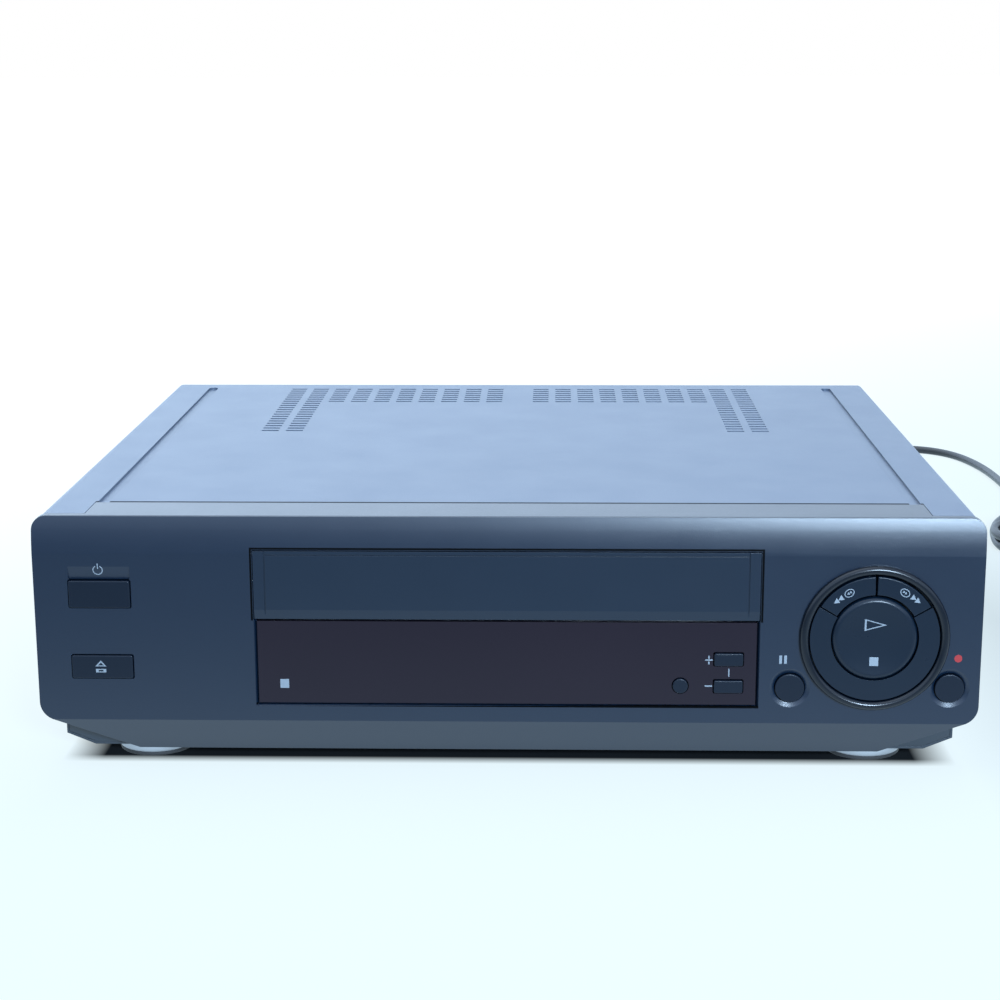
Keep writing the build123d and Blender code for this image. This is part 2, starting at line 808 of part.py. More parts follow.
with BuildPart() as front_board:
    with BuildSketch(facing(front_board_depth + board_thick)):
        with BuildLine():
            Polyline(
                (-front_board_half, front_board_low), (front_board_half, front_board_low),
                (front_board_half, front_board_top), (board_notch_half, front_board_top),
                (board_notch_half, board_notch_low), (-board_notch_half, board_notch_low),
                (-board_notch_half, front_board_top), (-front_board_half, front_board_top), close=True,
            )
        make_face()
    extrude(amount=board_thick)
save(front_board, "front_board")

with BuildPart() as tact_switches:
    with BuildSketch(facing(front_board_depth)):
        with Locations(*switch_spots):
            Rectangle(switch_width, switch_width)
    extrude(amount=front_board_depth - switch_front)
    with BuildSketch(facing(switch_front)):
        with Locations(*switch_spots):
            Circle(1.6)
    extrude(amount=switch_front - plunger_front)
save(tact_switches, "tact_switches")

with BuildPart() as display_tube:
    tube_x = (-62, 52)
    tube_z = (window_bottom + 4.2, window_top - 8.6)
    block(tube_x, (window_back + 1.6, front_board_depth - 1.2), tube_z)
    fillet(edges().filter_by(Axis.Y), 1.5)
    block((tube_x[0] + 4, tube_x[1] - 4), (front_board_depth - 1.6, front_board_depth),
          (tube_z[0] + 0.8, tube_z[0] + 2.4))
save(display_tube, "display_tube")

# ---------------------------------------------------------------- tape deck
guide_slot = 5.0
guide_foot = 6.0
carriage_rise = 0.3
cam_z = (deck_top + carriage_rise, deck_top + 4.3)
arm_posts = (
    (pinch_pivot, 2.0, 26.0),
    (tension_pivot, 1.5, 10.0),
    ((-reel_spacing / 2, reel_depth), 1.5, 14.0),
    ((reel_spacing / 2, reel_depth), 1.5, 14.0),
    (cam_at, 2.0, 4.8),
)
motor_at = (cam_at[0] + module * (cam_teeth + motor_teeth) / 2 + mesh_backlash, cam_at[1])
capstan_bearing_top = 46.0

with BuildPart() as deck_plate:
    block((-deck_half, deck_half), (deck_front, deck_back), (deck_under, deck_top))
    fillet(edges().filter_by(Axis.Z), 4)
    # fixed posts for the arms, the reel tables and the mode cam
    for (x, depth), radius, height in arm_posts:
        upright(x, depth, deck_top, deck_top + height, radius)
    upright(*capstan_at, deck_under, capstan_bearing_top, capstan_radius + 2.5)
    capstan_bore = capstan_radius + running_clear
    upright(*capstan_at, deck_under - 1, capstan_bearing_top + 1, capstan_bore, Mode.SUBTRACT)
    upright(*motor_at, deck_under - 1, deck_top + 1, 2.0, Mode.SUBTRACT)
    for x in (-deck_post_x, deck_post_x):
        for depth in deck_post_depths:
            upright(x, depth, deck_under - 1, deck_top + 1, 1.52, Mode.SUBTRACT)
    # slots that the loading guides run in
    run = (guide_end[0] - guide_start[0], guide_end[1] - guide_start[1])
    run_length = (run[0] ** 2 + run[1] ** 2) ** 0.5
    with BuildSketch(Plane.XY.offset(deck_under - 1)):
        for side in (-1, 1):
            middle = (side * (guide_start[0] + guide_end[0]) / 2, back((guide_start[1] + guide_end[1]) / 2))
            heading = degrees(atan2(run[1], side * run[0]))
            with Locations(middle):
                SlotCenterToCenter(run_length, guide_slot, rotation=heading)
    extrude(amount=deck_thick + 2, mode=Mode.SUBTRACT)
    # room for the loader's pinion
    with BuildSketch(Plane.YZ.offset(slider_inner - 1)):
        with Locations((back(loader_depth), axle_z)):
            Circle(pinion_room)
    extrude(amount=slider_thick + 2, mode=Mode.SUBTRACT)
save(deck_plate, "deck_plate")

with BuildPart() as loader_frame:
    for side in (-1, 1):
        plate = (frame_inner, frame_outer) if side > 0 else (-frame_outer, -frame_inner)
        block(plate, (slider_front, frame_back), (deck_top, frame_top))
    stud_slot = 2 * (stud_radius + 0.2)
    slot_span = stud_depths[1] + load_travel - stud_depths[0]
    with BuildSketch(Plane.YZ):
        with Locations((back(stud_depths[0] + slot_span / 2), stud_height)):
            SlotCenterToCenter(slot_span, stud_slot)
        # windows that lighten the plates
        with Locations((back(75), 62), (back(165), 62)):
            RectangleRounded(50, 26, 5)
    extrude(amount=frame_outer + 1, both=True, mode=Mode.SUBTRACT)
    # bridges over the holder
    for low, high in ((slider_front, 56), (172, 198)):
        block((-frame_outer, frame_outer), (low, high), (frame_top, frame_top + frame_thick))
    # axle of the drive pinion
    with BuildSketch(Plane.YZ.offset(slider_inner + 0.1)):
        with Locations((back(loader_depth), axle_z)):
            Circle(stud_radius)
    extrude(amount=frame_inner - slider_inner + 0.5)
save(loader_frame, "loader_frame")

with BuildPart() as carriage_slider:
    slider_top = stud_height + 6.7
    for side in (-1, 1):
        plate = (slider_inner, slider_outer) if side > 0 else (-slider_outer, -slider_inner)
        block(plate, (slider_front, slider_front + slider_length), (slider_bottom, slider_top))
    block((-slider_outer, slider_outer), (70, 90), (slider_top - 1.2, slider_top))
    # upright slots for the holder's pins
    pin_slot = 2 * (holder_pin_radius + 0.2)
    slot_middle = holder_pin_height - lower_travel / 2
    with BuildSketch(Plane.YZ):
        with Locations(*[(back(depth), slot_middle) for depth in holder_pin_depths]):
            SlotCenterToCenter(lower_travel, pin_slot, rotation=90)
    extrude(amount=slider_outer + 1, both=True, mode=Mode.SUBTRACT)
    # studs that run in the frame's slots
    for side in (-1, 1):
        with BuildSketch(Plane.YZ.offset(side * (slider_outer - 0.4))):
            with Locations(*[(back(depth), stud_height) for depth in stud_depths]):
                Circle(stud_radius)
        extrude(amount=side * (frame_outer - slider_outer + 0.8))
    # rack along the lower edge of the right plate
    rack_pitch = pi * module
    first = slider_front + 2
    last = slider_front + slider_length - 2
    teeth = [loader_depth + (0.5 + k) * rack_pitch for k in range(-40, 40)]
    with BuildSketch(Plane.YZ.offset(slider_inner)):
        with Locations(*[(back(depth), slider_bottom) for depth in teeth if first < depth < last]):
            Polygon((-0.95, 0.1), (-0.35, -1.8), (0.35, -1.8), (0.95, 0.1), align=None)
    extrude(amount=slider_thick)
save(carriage_slider, "carriage_slider")

with BuildPart() as loader_pinion:
    with BuildSketch(Plane.YZ.offset(slider_inner + 0.1)):
        with Locations((back(loader_depth), axle_z)):
            gear_section(loader_teeth, 90)
            Circle(stud_radius + running_clear, mode=Mode.SUBTRACT)
    extrude(amount=1.4)
save(loader_pinion, "loader_pinion")

with BuildPart() as cassette_holder:
    span = (holder_front, holder_front + holder_length)
    low = holder_floor - holder_sheet
    high = holder_ceiling + holder_sheet
    block((-holder_outer, holder_outer), span, (holder_ceiling, high))
    for side in (-1, 1):
        plate = (slot_half, holder_outer) if side > 0 else (-holder_outer, -slot_half)
        ledge = (holder_outer - holder_ledge, holder_outer)
        ledge = ledge if side > 0 else (-ledge[1], -ledge[0])
        block(plate, span, (low, high))
        block(ledge, span, (low, holder_floor))
        with BuildSketch(Plane.YZ.offset(side * (holder_outer - 0.3))):
            with Locations(*[(back(depth), holder_pin_height) for depth in holder_pin_depths]):
                Circle(holder_pin_radius)
        extrude(amount=side * (slider_outer + 0.3 - holder_outer + 0.3))
    # openings of the top plate, over the two reels
    with BuildSketch(Plane.XY.offset(holder_ceiling - 1)):
        with Locations((-46, back(80)), (46, back(80))):
            RectangleRounded(50, 40, 6)
    extrude(amount=3, mode=Mode.SUBTRACT)
save(cassette_holder, "cassette_holder")


def reel_table(label, x):
    """A reel table with its splined hub, turning on a post of the deck plate."""
    with BuildPart() as table:
        upright(x, reel_depth, deck_top + carriage_rise, deck_top + 2.2, 4.0)
        upright(x, reel_depth, deck_top + 2, deck_top + 4.5, reel_radius)
        upright(x, reel_depth, deck_top + 4.5, deck_top + 6, 11.0)
        upright(x, reel_depth, deck_top + 6, deck_top + 16, 7.0)
        with BuildSketch(Plane.XY.offset(deck_top + 6)):
            with Locations((x, back(reel_depth))):
                with PolarLocations(7.4, 6):
                    Rectangle(2.4, 1.8)
        extrude(amount=9)
        upright(x, reel_depth, deck_top, deck_top + 14.3, 1.5 + running_clear, Mode.SUBTRACT)
    save(table, label)


reel_table("supply_reel_table", -reel_spacing / 2)
reel_table("takeup_reel_table", reel_spacing / 2)

tilt = radians(drum_tilt)
drum_plane = Plane(origin=(0, back(drum_depth), deck_top), x_dir=(1, 0, 0), z_dir=(0, sin(tilt), cos(tilt)))
drum_gap = 0.3
drum_shaft = 3.0

with BuildPart() as lower_drum:
    with BuildSketch(drum_plane.offset(-6)):
        Circle(drum_radius)
    extrude(amount=drum_lower + 6)
    with BuildSketch(drum_plane.offset(drum_lower)):
        Circle(drum_shaft)
    extrude(amount=drum_upper + drum_gap - 3)
    # the base is cut level where it stands on the deck plate
    under = (deck_top - 20, deck_top)
    block((-2 * drum_radius, 2 * drum_radius), (drum_depth - 60, drum_depth + 60), under, mode=Mode.SUBTRACT)
save(lower_drum, "lower_drum")

with BuildPart() as upper_drum:
    with BuildSketch(drum_plane.offset(drum_lower + drum_gap)):
        Circle(drum_radius)
    extrude(amount=drum_upper)
    with BuildSketch(drum_plane.offset(drum_lower + drum_gap)):
        Circle(drum_shaft + running_clear)
    extrude(amount=drum_upper - 2.7, mode=Mode.SUBTRACT)
    with BuildSketch(drum_plane.offset(drum_lower + drum_gap + drum_upper)):
        Circle(drum_radius - 5)
        Circle(8, mode=Mode.SUBTRACT)
    extrude(amount=-2, mode=Mode.SUBTRACT)
    with BuildSketch(drum_plane.offset(drum_lower + drum_gap + drum_upper - 2)):
        with PolarLocations(17, 6):
            Circle(3.5)
    extrude(amount=-5, mode=Mode.SUBTRACT)
save(upper_drum, "upper_drum")

with BuildPart() as capstan:
    upright(*capstan_at, flywheel_z[0] - 4, capstan_bearing_top + 20, capstan_radius)
    upright(*capstan_at, *flywheel_z, flywheel_radius)
    upright(*capstan_at, flywheel_z[1], deck_under - 0.4, 5.0)
    with BuildSketch(Plane.XY.offset(flywheel_z[1] - 1.5)):
        with Locations((capstan_at[0], back(capstan_at[1]))):
            Circle(flywheel_radius - 4)
            Circle(8, mode=Mode.SUBTRACT)
    extrude(amount=2, mode=Mode.SUBTRACT)
save(capstan, "capstan")

stator_z = 12.0
stator_post_at = 30.0

with BuildPart() as capstan_stator:
    half = stator_post_at + 1
    block((capstan_at[0] - half, capstan_at[0] + half), (capstan_at[1] - half, capstan_at[1] + half),
          (stator_z, stator_z + board_thick))
    fillet(edges().filter_by(Axis.Z), 5)
    upright(*capstan_at, stator_z - 1, stator_z + 3, capstan_radius + 1.5, Mode.SUBTRACT)
    for step in range(6):
        angle = radians(60 * step)
        x, depth = capstan_at[0] + 15 * cos(angle), capstan_at[1] + 15 * sin(angle)
        upright(x, depth, stator_z + board_thick, flywheel_z[0] - 1.0, 5.5)
        upright(x, depth, stator_z + board_thick, flywheel_z[0], 2.0, Mode.SUBTRACT)
    for x, y in ((-1, -1), (1, -1), (1, 1), (-1, 1)):
        reach = stator_post_at - 4.5
        upright(capstan_at[0] + x * reach, capstan_at[1] + y * reach, stator_z + 1, deck_under, 2.5)
save(capstan_stator, "capstan_stator")

rest = radians(pinch_rest_angle)
roller_at = (pinch_pivot[0] + pinch_arm_length * cos(rest), pinch_pivot[1] + pinch_arm_length * sin(rest))

with BuildPart() as pinch_arm:
    upright(*pinch_pivot, deck_top + carriage_rise, deck_top + 20, 4.0)
    with BuildSketch(Plane.XY.offset(deck_top + 16)):
        middle = ((pinch_pivot[0] + roller_at[0]) / 2, back((pinch_pivot[1] + roller_at[1]) / 2))
        with Locations(middle):
            SlotCenterToCenter(pinch_arm_length, 6, rotation=pinch_rest_angle)
    extrude(amount=2)
    upright(*roller_at, deck_top + 17, deck_top + 35, 1.5)
    upright(*pinch_pivot, deck_top, deck_top + 21, 2.0 + running_clear, Mode.SUBTRACT)
save(pinch_arm, "pinch_arm")

with BuildPart() as pinch_roller:
    upright(*roller_at, deck_top + 18.3, deck_top + 33, pinch_roller_radius)
    upright(*roller_at, deck_top + 18, deck_top + 34, 1.5 + running_clear, Mode.SUBTRACT)
save(pinch_roller, "pinch_roller")

with BuildPart() as tension_arm:
    upright(*tension_pivot, deck_top + carriage_rise, deck_top + 8, 3.5)
    with BuildSketch(Plane.XY.offset(deck_top + 6)):
        with Locations((tension_pivot[0] + tension_arm_length / 2, back(tension_pivot[1]))):
            SlotCenterToCenter(tension_arm_length, 5)
    extrude(amount=1.5)
    upright(tension_pivot[0] + tension_arm_length, tension_pivot[1], deck_top + 7, deck_top + 30, 2.0)
    upright(*tension_pivot, deck_top, deck_top + 9, 1.5 + running_clear, Mode.SUBTRACT)
save(tension_arm, "tension_arm")


def loading_guide(label, side):
    """A guide roller on its foot, whose stem runs in a slot of the deck plate."""
    x, depth = side * guide_start[0], guide_start[1]
    with BuildPart() as guide:
        upright(x, depth, deck_under + 0.2, deck_top + 1, guide_slot / 2 - 0.3)
        upright(x, depth, deck_top + carriage_rise, deck_top + 3, guide_foot)
        upright(x, depth, deck_top + 3, deck_top + 33, 2.5)
        for low in (9, 30):
            upright(x, depth, deck_top + low, deck_top + low + 2, 3.8)
    save(guide, label)


loading_guide("supply_guide", -1)
loading_guide("takeup_guide", 1)

with BuildPart() as tape_heads:
    # erase head on the supply side, sound and control head on the take-up side
    block((-66, -56), (240, 247), (deck_top, deck_top + 2))
    block((-65, -57), (241, 246), (deck_top, deck_top + 27))
    block((55, 67), (240, 251), (deck_top, deck_top + 2))
    block((57, 65), (241, 250), (deck_top, deck_top + 28))
    fillet(edges().filter_by(Axis.Z), 0.8)
save(tape_heads, "tape_heads")

with BuildPart() as loading_motor:
    motor_radius = 11.0
    motor_low = 9.0
    upright(*motor_at, motor_low, deck_under, motor_radius)
    fillet(edges().filter_by(GeomType.CIRCLE).group_by(Axis.Z)[0], 1.5)
    upright(*motor_at, deck_under - 8, deck_under + 1, 1.0 + running_clear, Mode.SUBTRACT)
save(loading_motor, "loading_motor")

with BuildPart() as motor_pinion:
    with BuildSketch(Plane.XY.offset(cam_z[0])):
        with Locations((motor_at[0], back(motor_at[1]))):
            gear_section(motor_teeth, 180 / motor_teeth)
    extrude(amount=cam_z[1] - cam_z[0] + 0.8)
    upright(*motor_at, deck_under - 7.5, cam_z[1], 1.0)
save(motor_pinion, "motor_pinion")

with BuildPart() as mode_cam:
    with BuildSketch(Plane.XY.offset(cam_z[0])):
        with Locations((cam_at[0], back(cam_at[1]))):
            gear_section(cam_teeth)
            Circle(2.0 + running_clear, mode=Mode.SUBTRACT)
    extrude(amount=cam_z[1] - cam_z[0])
    # cam track in the upper face
    with BuildSketch(Plane.XY.offset(cam_z[1])):
        with Locations((cam_at[0] + 2, back(cam_at[1]))):
            Circle(13)
            Circle(10, mode=Mode.SUBTRACT)
    extrude(amount=-1.5, mode=Mode.SUBTRACT)
save(mode_cam, "mode_cam")

# ---------------------------------------------------------------- boards and what they carry
with BuildPart() as main_board:
    block(main_board_x, main_board_depths, (board_z, board_top))
    for depth in deck_post_depths:
        upright(-deck_post_x, depth, board_z - 1, board_top + 1, post_radius + 1, Mode.SUBTRACT)
    upright(*motor_at, board_z - 1, board_top + 1, motor_radius + 1, Mode.SUBTRACT)
save(main_board, "main_board")

with BuildPart() as power_board:
    block(power_board_x, power_board_depths, (board_z, board_top))
save(power_board, "power_board")


def standing(corner, at, size, heights):
    """A block on a board: its middle is given from the board's front left corner."""
    (x, depth), (width, length) = (corner[0] + at[0], corner[1] + at[1]), size
    block((x - width / 2, x + width / 2), (depth - length / 2, depth + length / 2),
          (board_top + heights[0], board_top + heights[1]))


with BuildPart() as transformer:
    transformer_at = (28, 82)
    standing(power_corner, transformer_at, (36, 32), (0, 3))
    standing(power_corner, transformer_at, (32, 28), (3, 28))
    standing(power_corner, transformer_at, (20, 40), (7, 24))
    fillet(edges().filter_by(Axis.Z), 1.5)
save(transformer, "transformer")

with BuildPart() as heat_sink:
    sink_height = 34
    standing(power_corner, (31, 27.5), (46, 3), (0, sink_height))
    for step in range(8):
        standing(power_corner, (8.8 + 6.2 * step, 36.25), (1.6, 15.5), (0, sink_height))
save(heat_sink, "heat_sink")

with BuildPart() as board_components:
    # capacitors: place on the board, radius, height
    power_cans = ((58, 68, 9, 30), (61, 92, 7, 22), (20, 14, 5, 16), (36, 14, 5, 16), (52, 14, 4, 12))
    main_cans = (
        (64, 120, 4, 11), (52, 120, 4, 11), (34, 166, 5, 14), (20, 166, 5, 14),
        (154, 50, 3, 8), (8, 90, 3, 9), (8, 102, 3, 9),
    )
    for corner, cans in ((power_corner, power_cans), (main_corner, main_cans)):
        for x, depth, radius, height in cans:
            upright(corner[0] + x, corner[1] + depth, board_top, board_top + height, radius)
    # integrated circuits: place on the board, width, length
    chips = ((34, 40, 22, 16), (64, 80, 30, 10), (120, 120, 14, 28), (144, 210, 12, 24), (24, 130, 10, 24))
    for x, depth, width, length in chips:
        standing(main_corner, (x, depth), (width, length), (0, 3.2))
save(board_components, "board_components")

with BuildPart() as shield_cans:
    # a shielded circuit before the tuner, and a filter can
    for place, size, height in (((28, 201), (52, 42), 16), ((76, 160), (8, 40), 9)):
        standing(main_corner, place, size, (0, height))
    fillet(edges().filter_by(Axis.Z), 1)
save(shield_cans, "shield_cans")

socket_face = rear_panel_depth - 0.2
socket_reach = cover_depth + jack_reach

with BuildPart() as tuner_box:
    tuner_x = (main_board_x[0] + 2, main_board_x[0] + 60)
    tuner_top = board_top + 28
    block(tuner_x, (264, socket_face), (board_top, tuner_top))
    # pressed cooling marks in the lid
    with BuildSketch(Plane.XY.offset(tuner_top)):
        with Locations(((tuner_x[0] + tuner_x[1]) / 2, back(288))):
            with GridLocations(8, 22, 5, 2):
                Rectangle(4, 14)
    extrude(amount=-0.6, mode=Mode.SUBTRACT)
save(tuner_box, "tuner_box")

with BuildPart() as antenna_sockets:
    for x in antenna_x:
        with BuildSketch(facing(socket_face)):
            with Locations((x, antenna_z)):
                Circle(antenna_radius)
        extrude(amount=socket_face - socket_reach)
        with BuildSketch(facing(rear_panel_depth + sheet)):
            with Locations((x, antenna_z)):
                Circle(antenna_flange)
        extrude(amount=-antenna_flange_thick)
        with BuildSketch(facing(socket_reach)):
            with Locations((x, antenna_z)):
                Circle(antenna_radius - 1)
        extrude(amount=antenna_bore, mode=Mode.SUBTRACT)
        with BuildSketch(facing(socket_reach - antenna_bore)):
            with Locations((x, antenna_z)):
                Circle(antenna_pin)
        extrude(amount=1 - antenna_bore)
save(antenna_sockets, "antenna_sockets")

phono_reach = socket_reach - 0.6

with BuildPart() as phono_sockets:
    block((phono_x[0] - 10, phono_x[-1] + 10), (302, socket_face), (board_top, phono_z[1] + 9))
    with BuildSketch(facing(phono_reach)):
        with Locations(*[(x, z) for x in phono_x for z in phono_z]):
            Circle(phono_radius)
    extrude(amount=phono_reach - socket_face)
    with BuildSketch(facing(socket_face)):
        with Locations(*[(x, z) for x in phono_x for z in phono_z]):
            Circle(phono_collar)
    extrude(amount=-phono_collar_length)
    with BuildSketch(facing(phono_reach)):
        with Locations(*[(x, z) for x in phono_x for z in phono_z]):
            Circle(phono_bore)
    extrude(amount=12, mode=Mode.SUBTRACT)
save(phono_sockets, "phono_sockets")

with BuildPart() as ribbon_cables:
    cable_foot = 38.0
    for x, width in ((-90, 30), (-150, 24)):
        with BuildSketch(Plane.YZ.offset(x)):
            with BuildLine():
                FilletPolyline(
                    (back(front_board_depth + board_thick), 34), (back(22), 34), (back(30), 22),
                    (back(cable_foot), 22), (back(cable_foot), board_top), radius=3,
                )
            trace(line_width=0.6)
        extrude(amount=width)
save(ribbon_cables, "ribbon_cables")

with BuildPart() as screws:
    # deck plate onto the chassis posts
    for x in (-deck_post_x, deck_post_x):
        for depth in deck_post_depths:
            upright(x, depth, deck_under - 8, deck_top + 0.5, 1.5)
            upright(x, depth, deck_top, deck_top + 1.8, 3.0)
    # cover onto the chassis ears
    for side in (-1, 1):
        for depth in side_screw_depths:
            with BuildSketch(Plane.YZ.offset(side * cover_half)):
                with Locations((back(depth), side_screw_z)):
                    Circle(3.2)
            extrude(amount=side * 1.6)
            with BuildSketch(Plane.YZ.offset(side * (cover_half + 0.4))):
                with Locations((back(depth), side_screw_z)):
                    Circle(1.5)
            extrude(amount=-side * 6)
    # rear panel onto the chassis flange
    for x in rear_screw_x:
        with BuildSketch(facing(cover_depth - sheet)):
            with Locations((x, rear_screw_z)):
                Circle(3.0)
        extrude(amount=-1.6)
        with BuildSketch(facing(cover_depth - sheet + 0.4)):
            with Locations((x, rear_screw_z)):
                Circle(1.5)
        extrude(amount=7)
save(screws, "screws")

# ---------------------------------------------------------------- mains lead
relief_start = rear_panel_depth - 2.0
relief_end = relief_start + relief_length

with BuildPart() as strain_relief:
    exit_x, exit_z = cord_exit
    with BuildSketch(facing(relief_start)):
        with Locations((exit_x, exit_z)):
            Rectangle(12, 9)
    extrude(amount=-1.8)
    with BuildSketch(facing(relief_start + 1)):
        with Locations((exit_x, exit_z)):
            Rectangle(8.6, 6.6)
    extrude(amount=-3.6)
    with BuildSketch(facing(relief_start + 4)) as collar:
        with Locations((exit_x, exit_z)):
            Circle(5.2)
    with BuildSketch(facing(relief_end)) as tip:
        with Locations((exit_x, exit_z)):
            Circle(cord_diameter / 2 + 0.7)
    loft([collar.sketch, tip.sketch])
save(strain_relief, "strain_relief")

# the coil: three turns beside each other in two layers
coil_at = (317.0, 380.0)
coil_middle = 31.2
coil_outer = coil_middle + 1.5 * cord_diameter
coil_inner = coil_middle - 1.5 * cord_diameter
coil_height = 2 * cord_diameter + 0.2
lay = cord_diameter / 2 + 0.1

# from the strain relief down to the floor, round behind the machine and forward to the coil
cord_route = (
    (exit_x, relief_end, exit_z), (162, 368, 42), (164, 396, 29), (167, 424, 10), (170, 457, lay),
    (177, 505, lay), (191, 559, lay), (216, 611, lay), (250, 648, lay), (281, 657, lay), (306, 638, lay), (317.5, 595, lay),
    (320.5, 541, lay), (317.5, 492, lay), (307, 452, lay), (292, 420, lay), (285, 384, lay),
)
plug_route = (
    (322, coil_at[1] - coil_outer + cord_diameter / 2, lay), (349, 342, lay), (372, 353, 5.0),
    (386.5, 376, 7.5), (386.5, 400, 7.5),
)


def turn_radii(points):
    """The radius of each bend: 0.45 of the shorter run over the tangent of half the turn."""
    radii = []
    for before, here, after in zip(points, points[1:], points[2:]):
        one, two = Vector(here) - Vector(before), Vector(after) - Vector(here)
        turn = radians(one.get_angle(two))
        radii.append(0.45 * min(one.length, two.length) / tan(turn / 2))
    return radii


def cord_tube(points):
    """The lead along a route of straight runs with tangent arcs."""
    placed = [(x, back(depth), z) for x, depth, z in points]
    radii = turn_radii(placed)
    with BuildPart() as tube:
        with BuildLine() as route:
            FilletPolyline(*placed, radius=radii)
        with BuildSketch(route.line ^ 0):
            Circle(cord_diameter / 2)
        sweep()
    length = route.wire().length
    print("radii", [round(radius) for radius in radii], "length", round(length, 1))
    print("volume over section times length", tube.part.volume / (pi * cord_diameter**2 / 4 * length))
    return tube.part


with BuildPart() as power_cord:
    add(cord_tube(cord_route))
    add(cord_tube(plug_route))
save(power_cord, "power_cord")

with BuildPart() as cord_coil:
    upright(*coil_at, 0, coil_height, coil_outer)
    upright(*coil_at, -1, coil_height + 1, coil_inner, Mode.SUBTRACT)
    fillet(edges().filter_by(GeomType.CIRCLE), 2)
save(cord_coil, "cord_coil")

with BuildPart() as plug:
    plug_x, plug_depth, plug_z = plug_route[-1]
    plug_length = 30.0
    with BuildSketch(facing(plug_depth)) as cable_end:
        with Locations((plug_x, plug_z)):
            Circle(cord_diameter / 2 + 1)
    with BuildSketch(facing(plug_depth + 12)) as shoulder:
        with Locations((plug_x, plug_z)):
            RectangleRounded(20, 14, 5)
    loft([cable_end.sketch, shoulder.sketch])
    with BuildSketch(facing(plug_depth + 12)):
        with Locations((plug_x, plug_z)):
            RectangleRounded(20, 14, 5)
    extrude(amount=12 - plug_length)
    with BuildSketch(facing(plug_depth + plug_length - 1)):
        with Locations((plug_x - 6.35, plug_z), (plug_x + 6.35, plug_z)):
            Rectangle(1.5, 6.4)
    extrude(amount=-18)
save(plug, "plug")
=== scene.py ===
# Looks of the video cassette recorder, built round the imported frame.
# Places are (x, depth, z) in millimetres: depth is measured behind the flat front face.
from math import cos, pi, radians, sin

import bpy
from mathutils import Matrix, Vector


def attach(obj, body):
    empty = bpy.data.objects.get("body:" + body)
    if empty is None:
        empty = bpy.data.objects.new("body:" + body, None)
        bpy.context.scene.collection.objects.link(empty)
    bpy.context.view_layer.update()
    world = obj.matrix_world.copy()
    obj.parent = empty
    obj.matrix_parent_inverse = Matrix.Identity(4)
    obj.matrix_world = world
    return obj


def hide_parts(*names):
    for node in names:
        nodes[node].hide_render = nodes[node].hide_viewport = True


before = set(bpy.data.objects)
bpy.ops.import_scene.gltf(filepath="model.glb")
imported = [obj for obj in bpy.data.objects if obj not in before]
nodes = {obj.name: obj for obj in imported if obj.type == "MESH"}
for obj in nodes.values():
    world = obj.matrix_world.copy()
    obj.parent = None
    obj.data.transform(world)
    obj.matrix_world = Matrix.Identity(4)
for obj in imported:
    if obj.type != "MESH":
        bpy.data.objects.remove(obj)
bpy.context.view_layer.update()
mm = 0.001
frontFace = -161.65  # y of the flat front face
print("frame loaded:", len(nodes), "nodes")


def behind(depth):
    return (frontFace + depth) * mm


def at(x, depth, z):
    return Vector((x * mm, behind(depth), z * mm))


# camera: place in metres, angles in degrees, lens and sensor in millimetres
cameraView = {
    "place": (0.01806, -0.94175, 0.29452),
    "turn": 1.5005,
    "tilt": 77.021,
    "roll": -0.1743,
    "lens": 72.0,
    "sensor": 36.0,
}
camera = bpy.data.objects.new("viewCamera", bpy.data.cameras.new("viewCamera"))
bpy.context.scene.collection.objects.link(camera)
camera.data.lens = cameraView["lens"]
camera.data.sensor_width = cameraView["sensor"]
camera.matrix_world = (
    Matrix.Translation(cameraView["place"])
    @ Matrix.Rotation(radians(cameraView["turn"]), 4, "Z")
    @ Matrix.Rotation(radians(cameraView["tilt"]), 4, "X")
    @ Matrix.Rotation(radians(cameraView["roll"]), 4, "Z")
)
bpy.context.scene.camera = camera
print("camera placed")


class Signal:  # one output socket, usable in sums
    def __init__(self, look, socket):
        self.look = look
        self.socket = socket

    def math(self, operation, *values):
        inputs = dict(enumerate(values))
        return self.look.add("ShaderNodeMath", {"operation": operation}, inputs)

    def __add__(self, other):
        return self.math("ADD", self, other)

    def __sub__(self, other):
        return self.math("SUBTRACT", self, other)

    def __rsub__(self, other):
        return self.math("SUBTRACT", other, self)

    def __mul__(self, other):
        return self.math("MULTIPLY", self, other)

    def __abs__(self):
        return self.math("ABSOLUTE", self)

    def over(self, limit):
        return self.math("GREATER_THAN", self, limit)

    def under(self, limit):
        return self.math("LESS_THAN", self, limit)

    def between(self, low, high):  # 0 at low, 1 at high
        inputs = {"Value": self, "From Min": low, "From Max": high}
        return self.look.add("ShaderNodeMapRange", {"clamp": True}, inputs)


class Wiring:  # nodes of a material or of the room
    def __init__(self, tree):
        self.tree = tree

    def feed(self, socket, value):
        if isinstance(value, Signal):
            self.tree.links.new(value.socket, socket)
        else:
            socket.default_value = value

    def add(self, kind, settings=None, inputs=None, output=0):
        made = self.tree.nodes.new(kind)
        for label, value in (settings or {}).items():
            setattr(made, label, value)
        for label, value in (inputs or {}).items():
            self.feed(made.inputs[label], value)
        return Signal(self, made.outputs[output])

    def parts(self, vector):
        made = self.tree.nodes.new("ShaderNodeSeparateXYZ")
        self.feed(made.inputs[0], vector)
        return [Signal(self, made.outputs[side]) for side in range(3)]


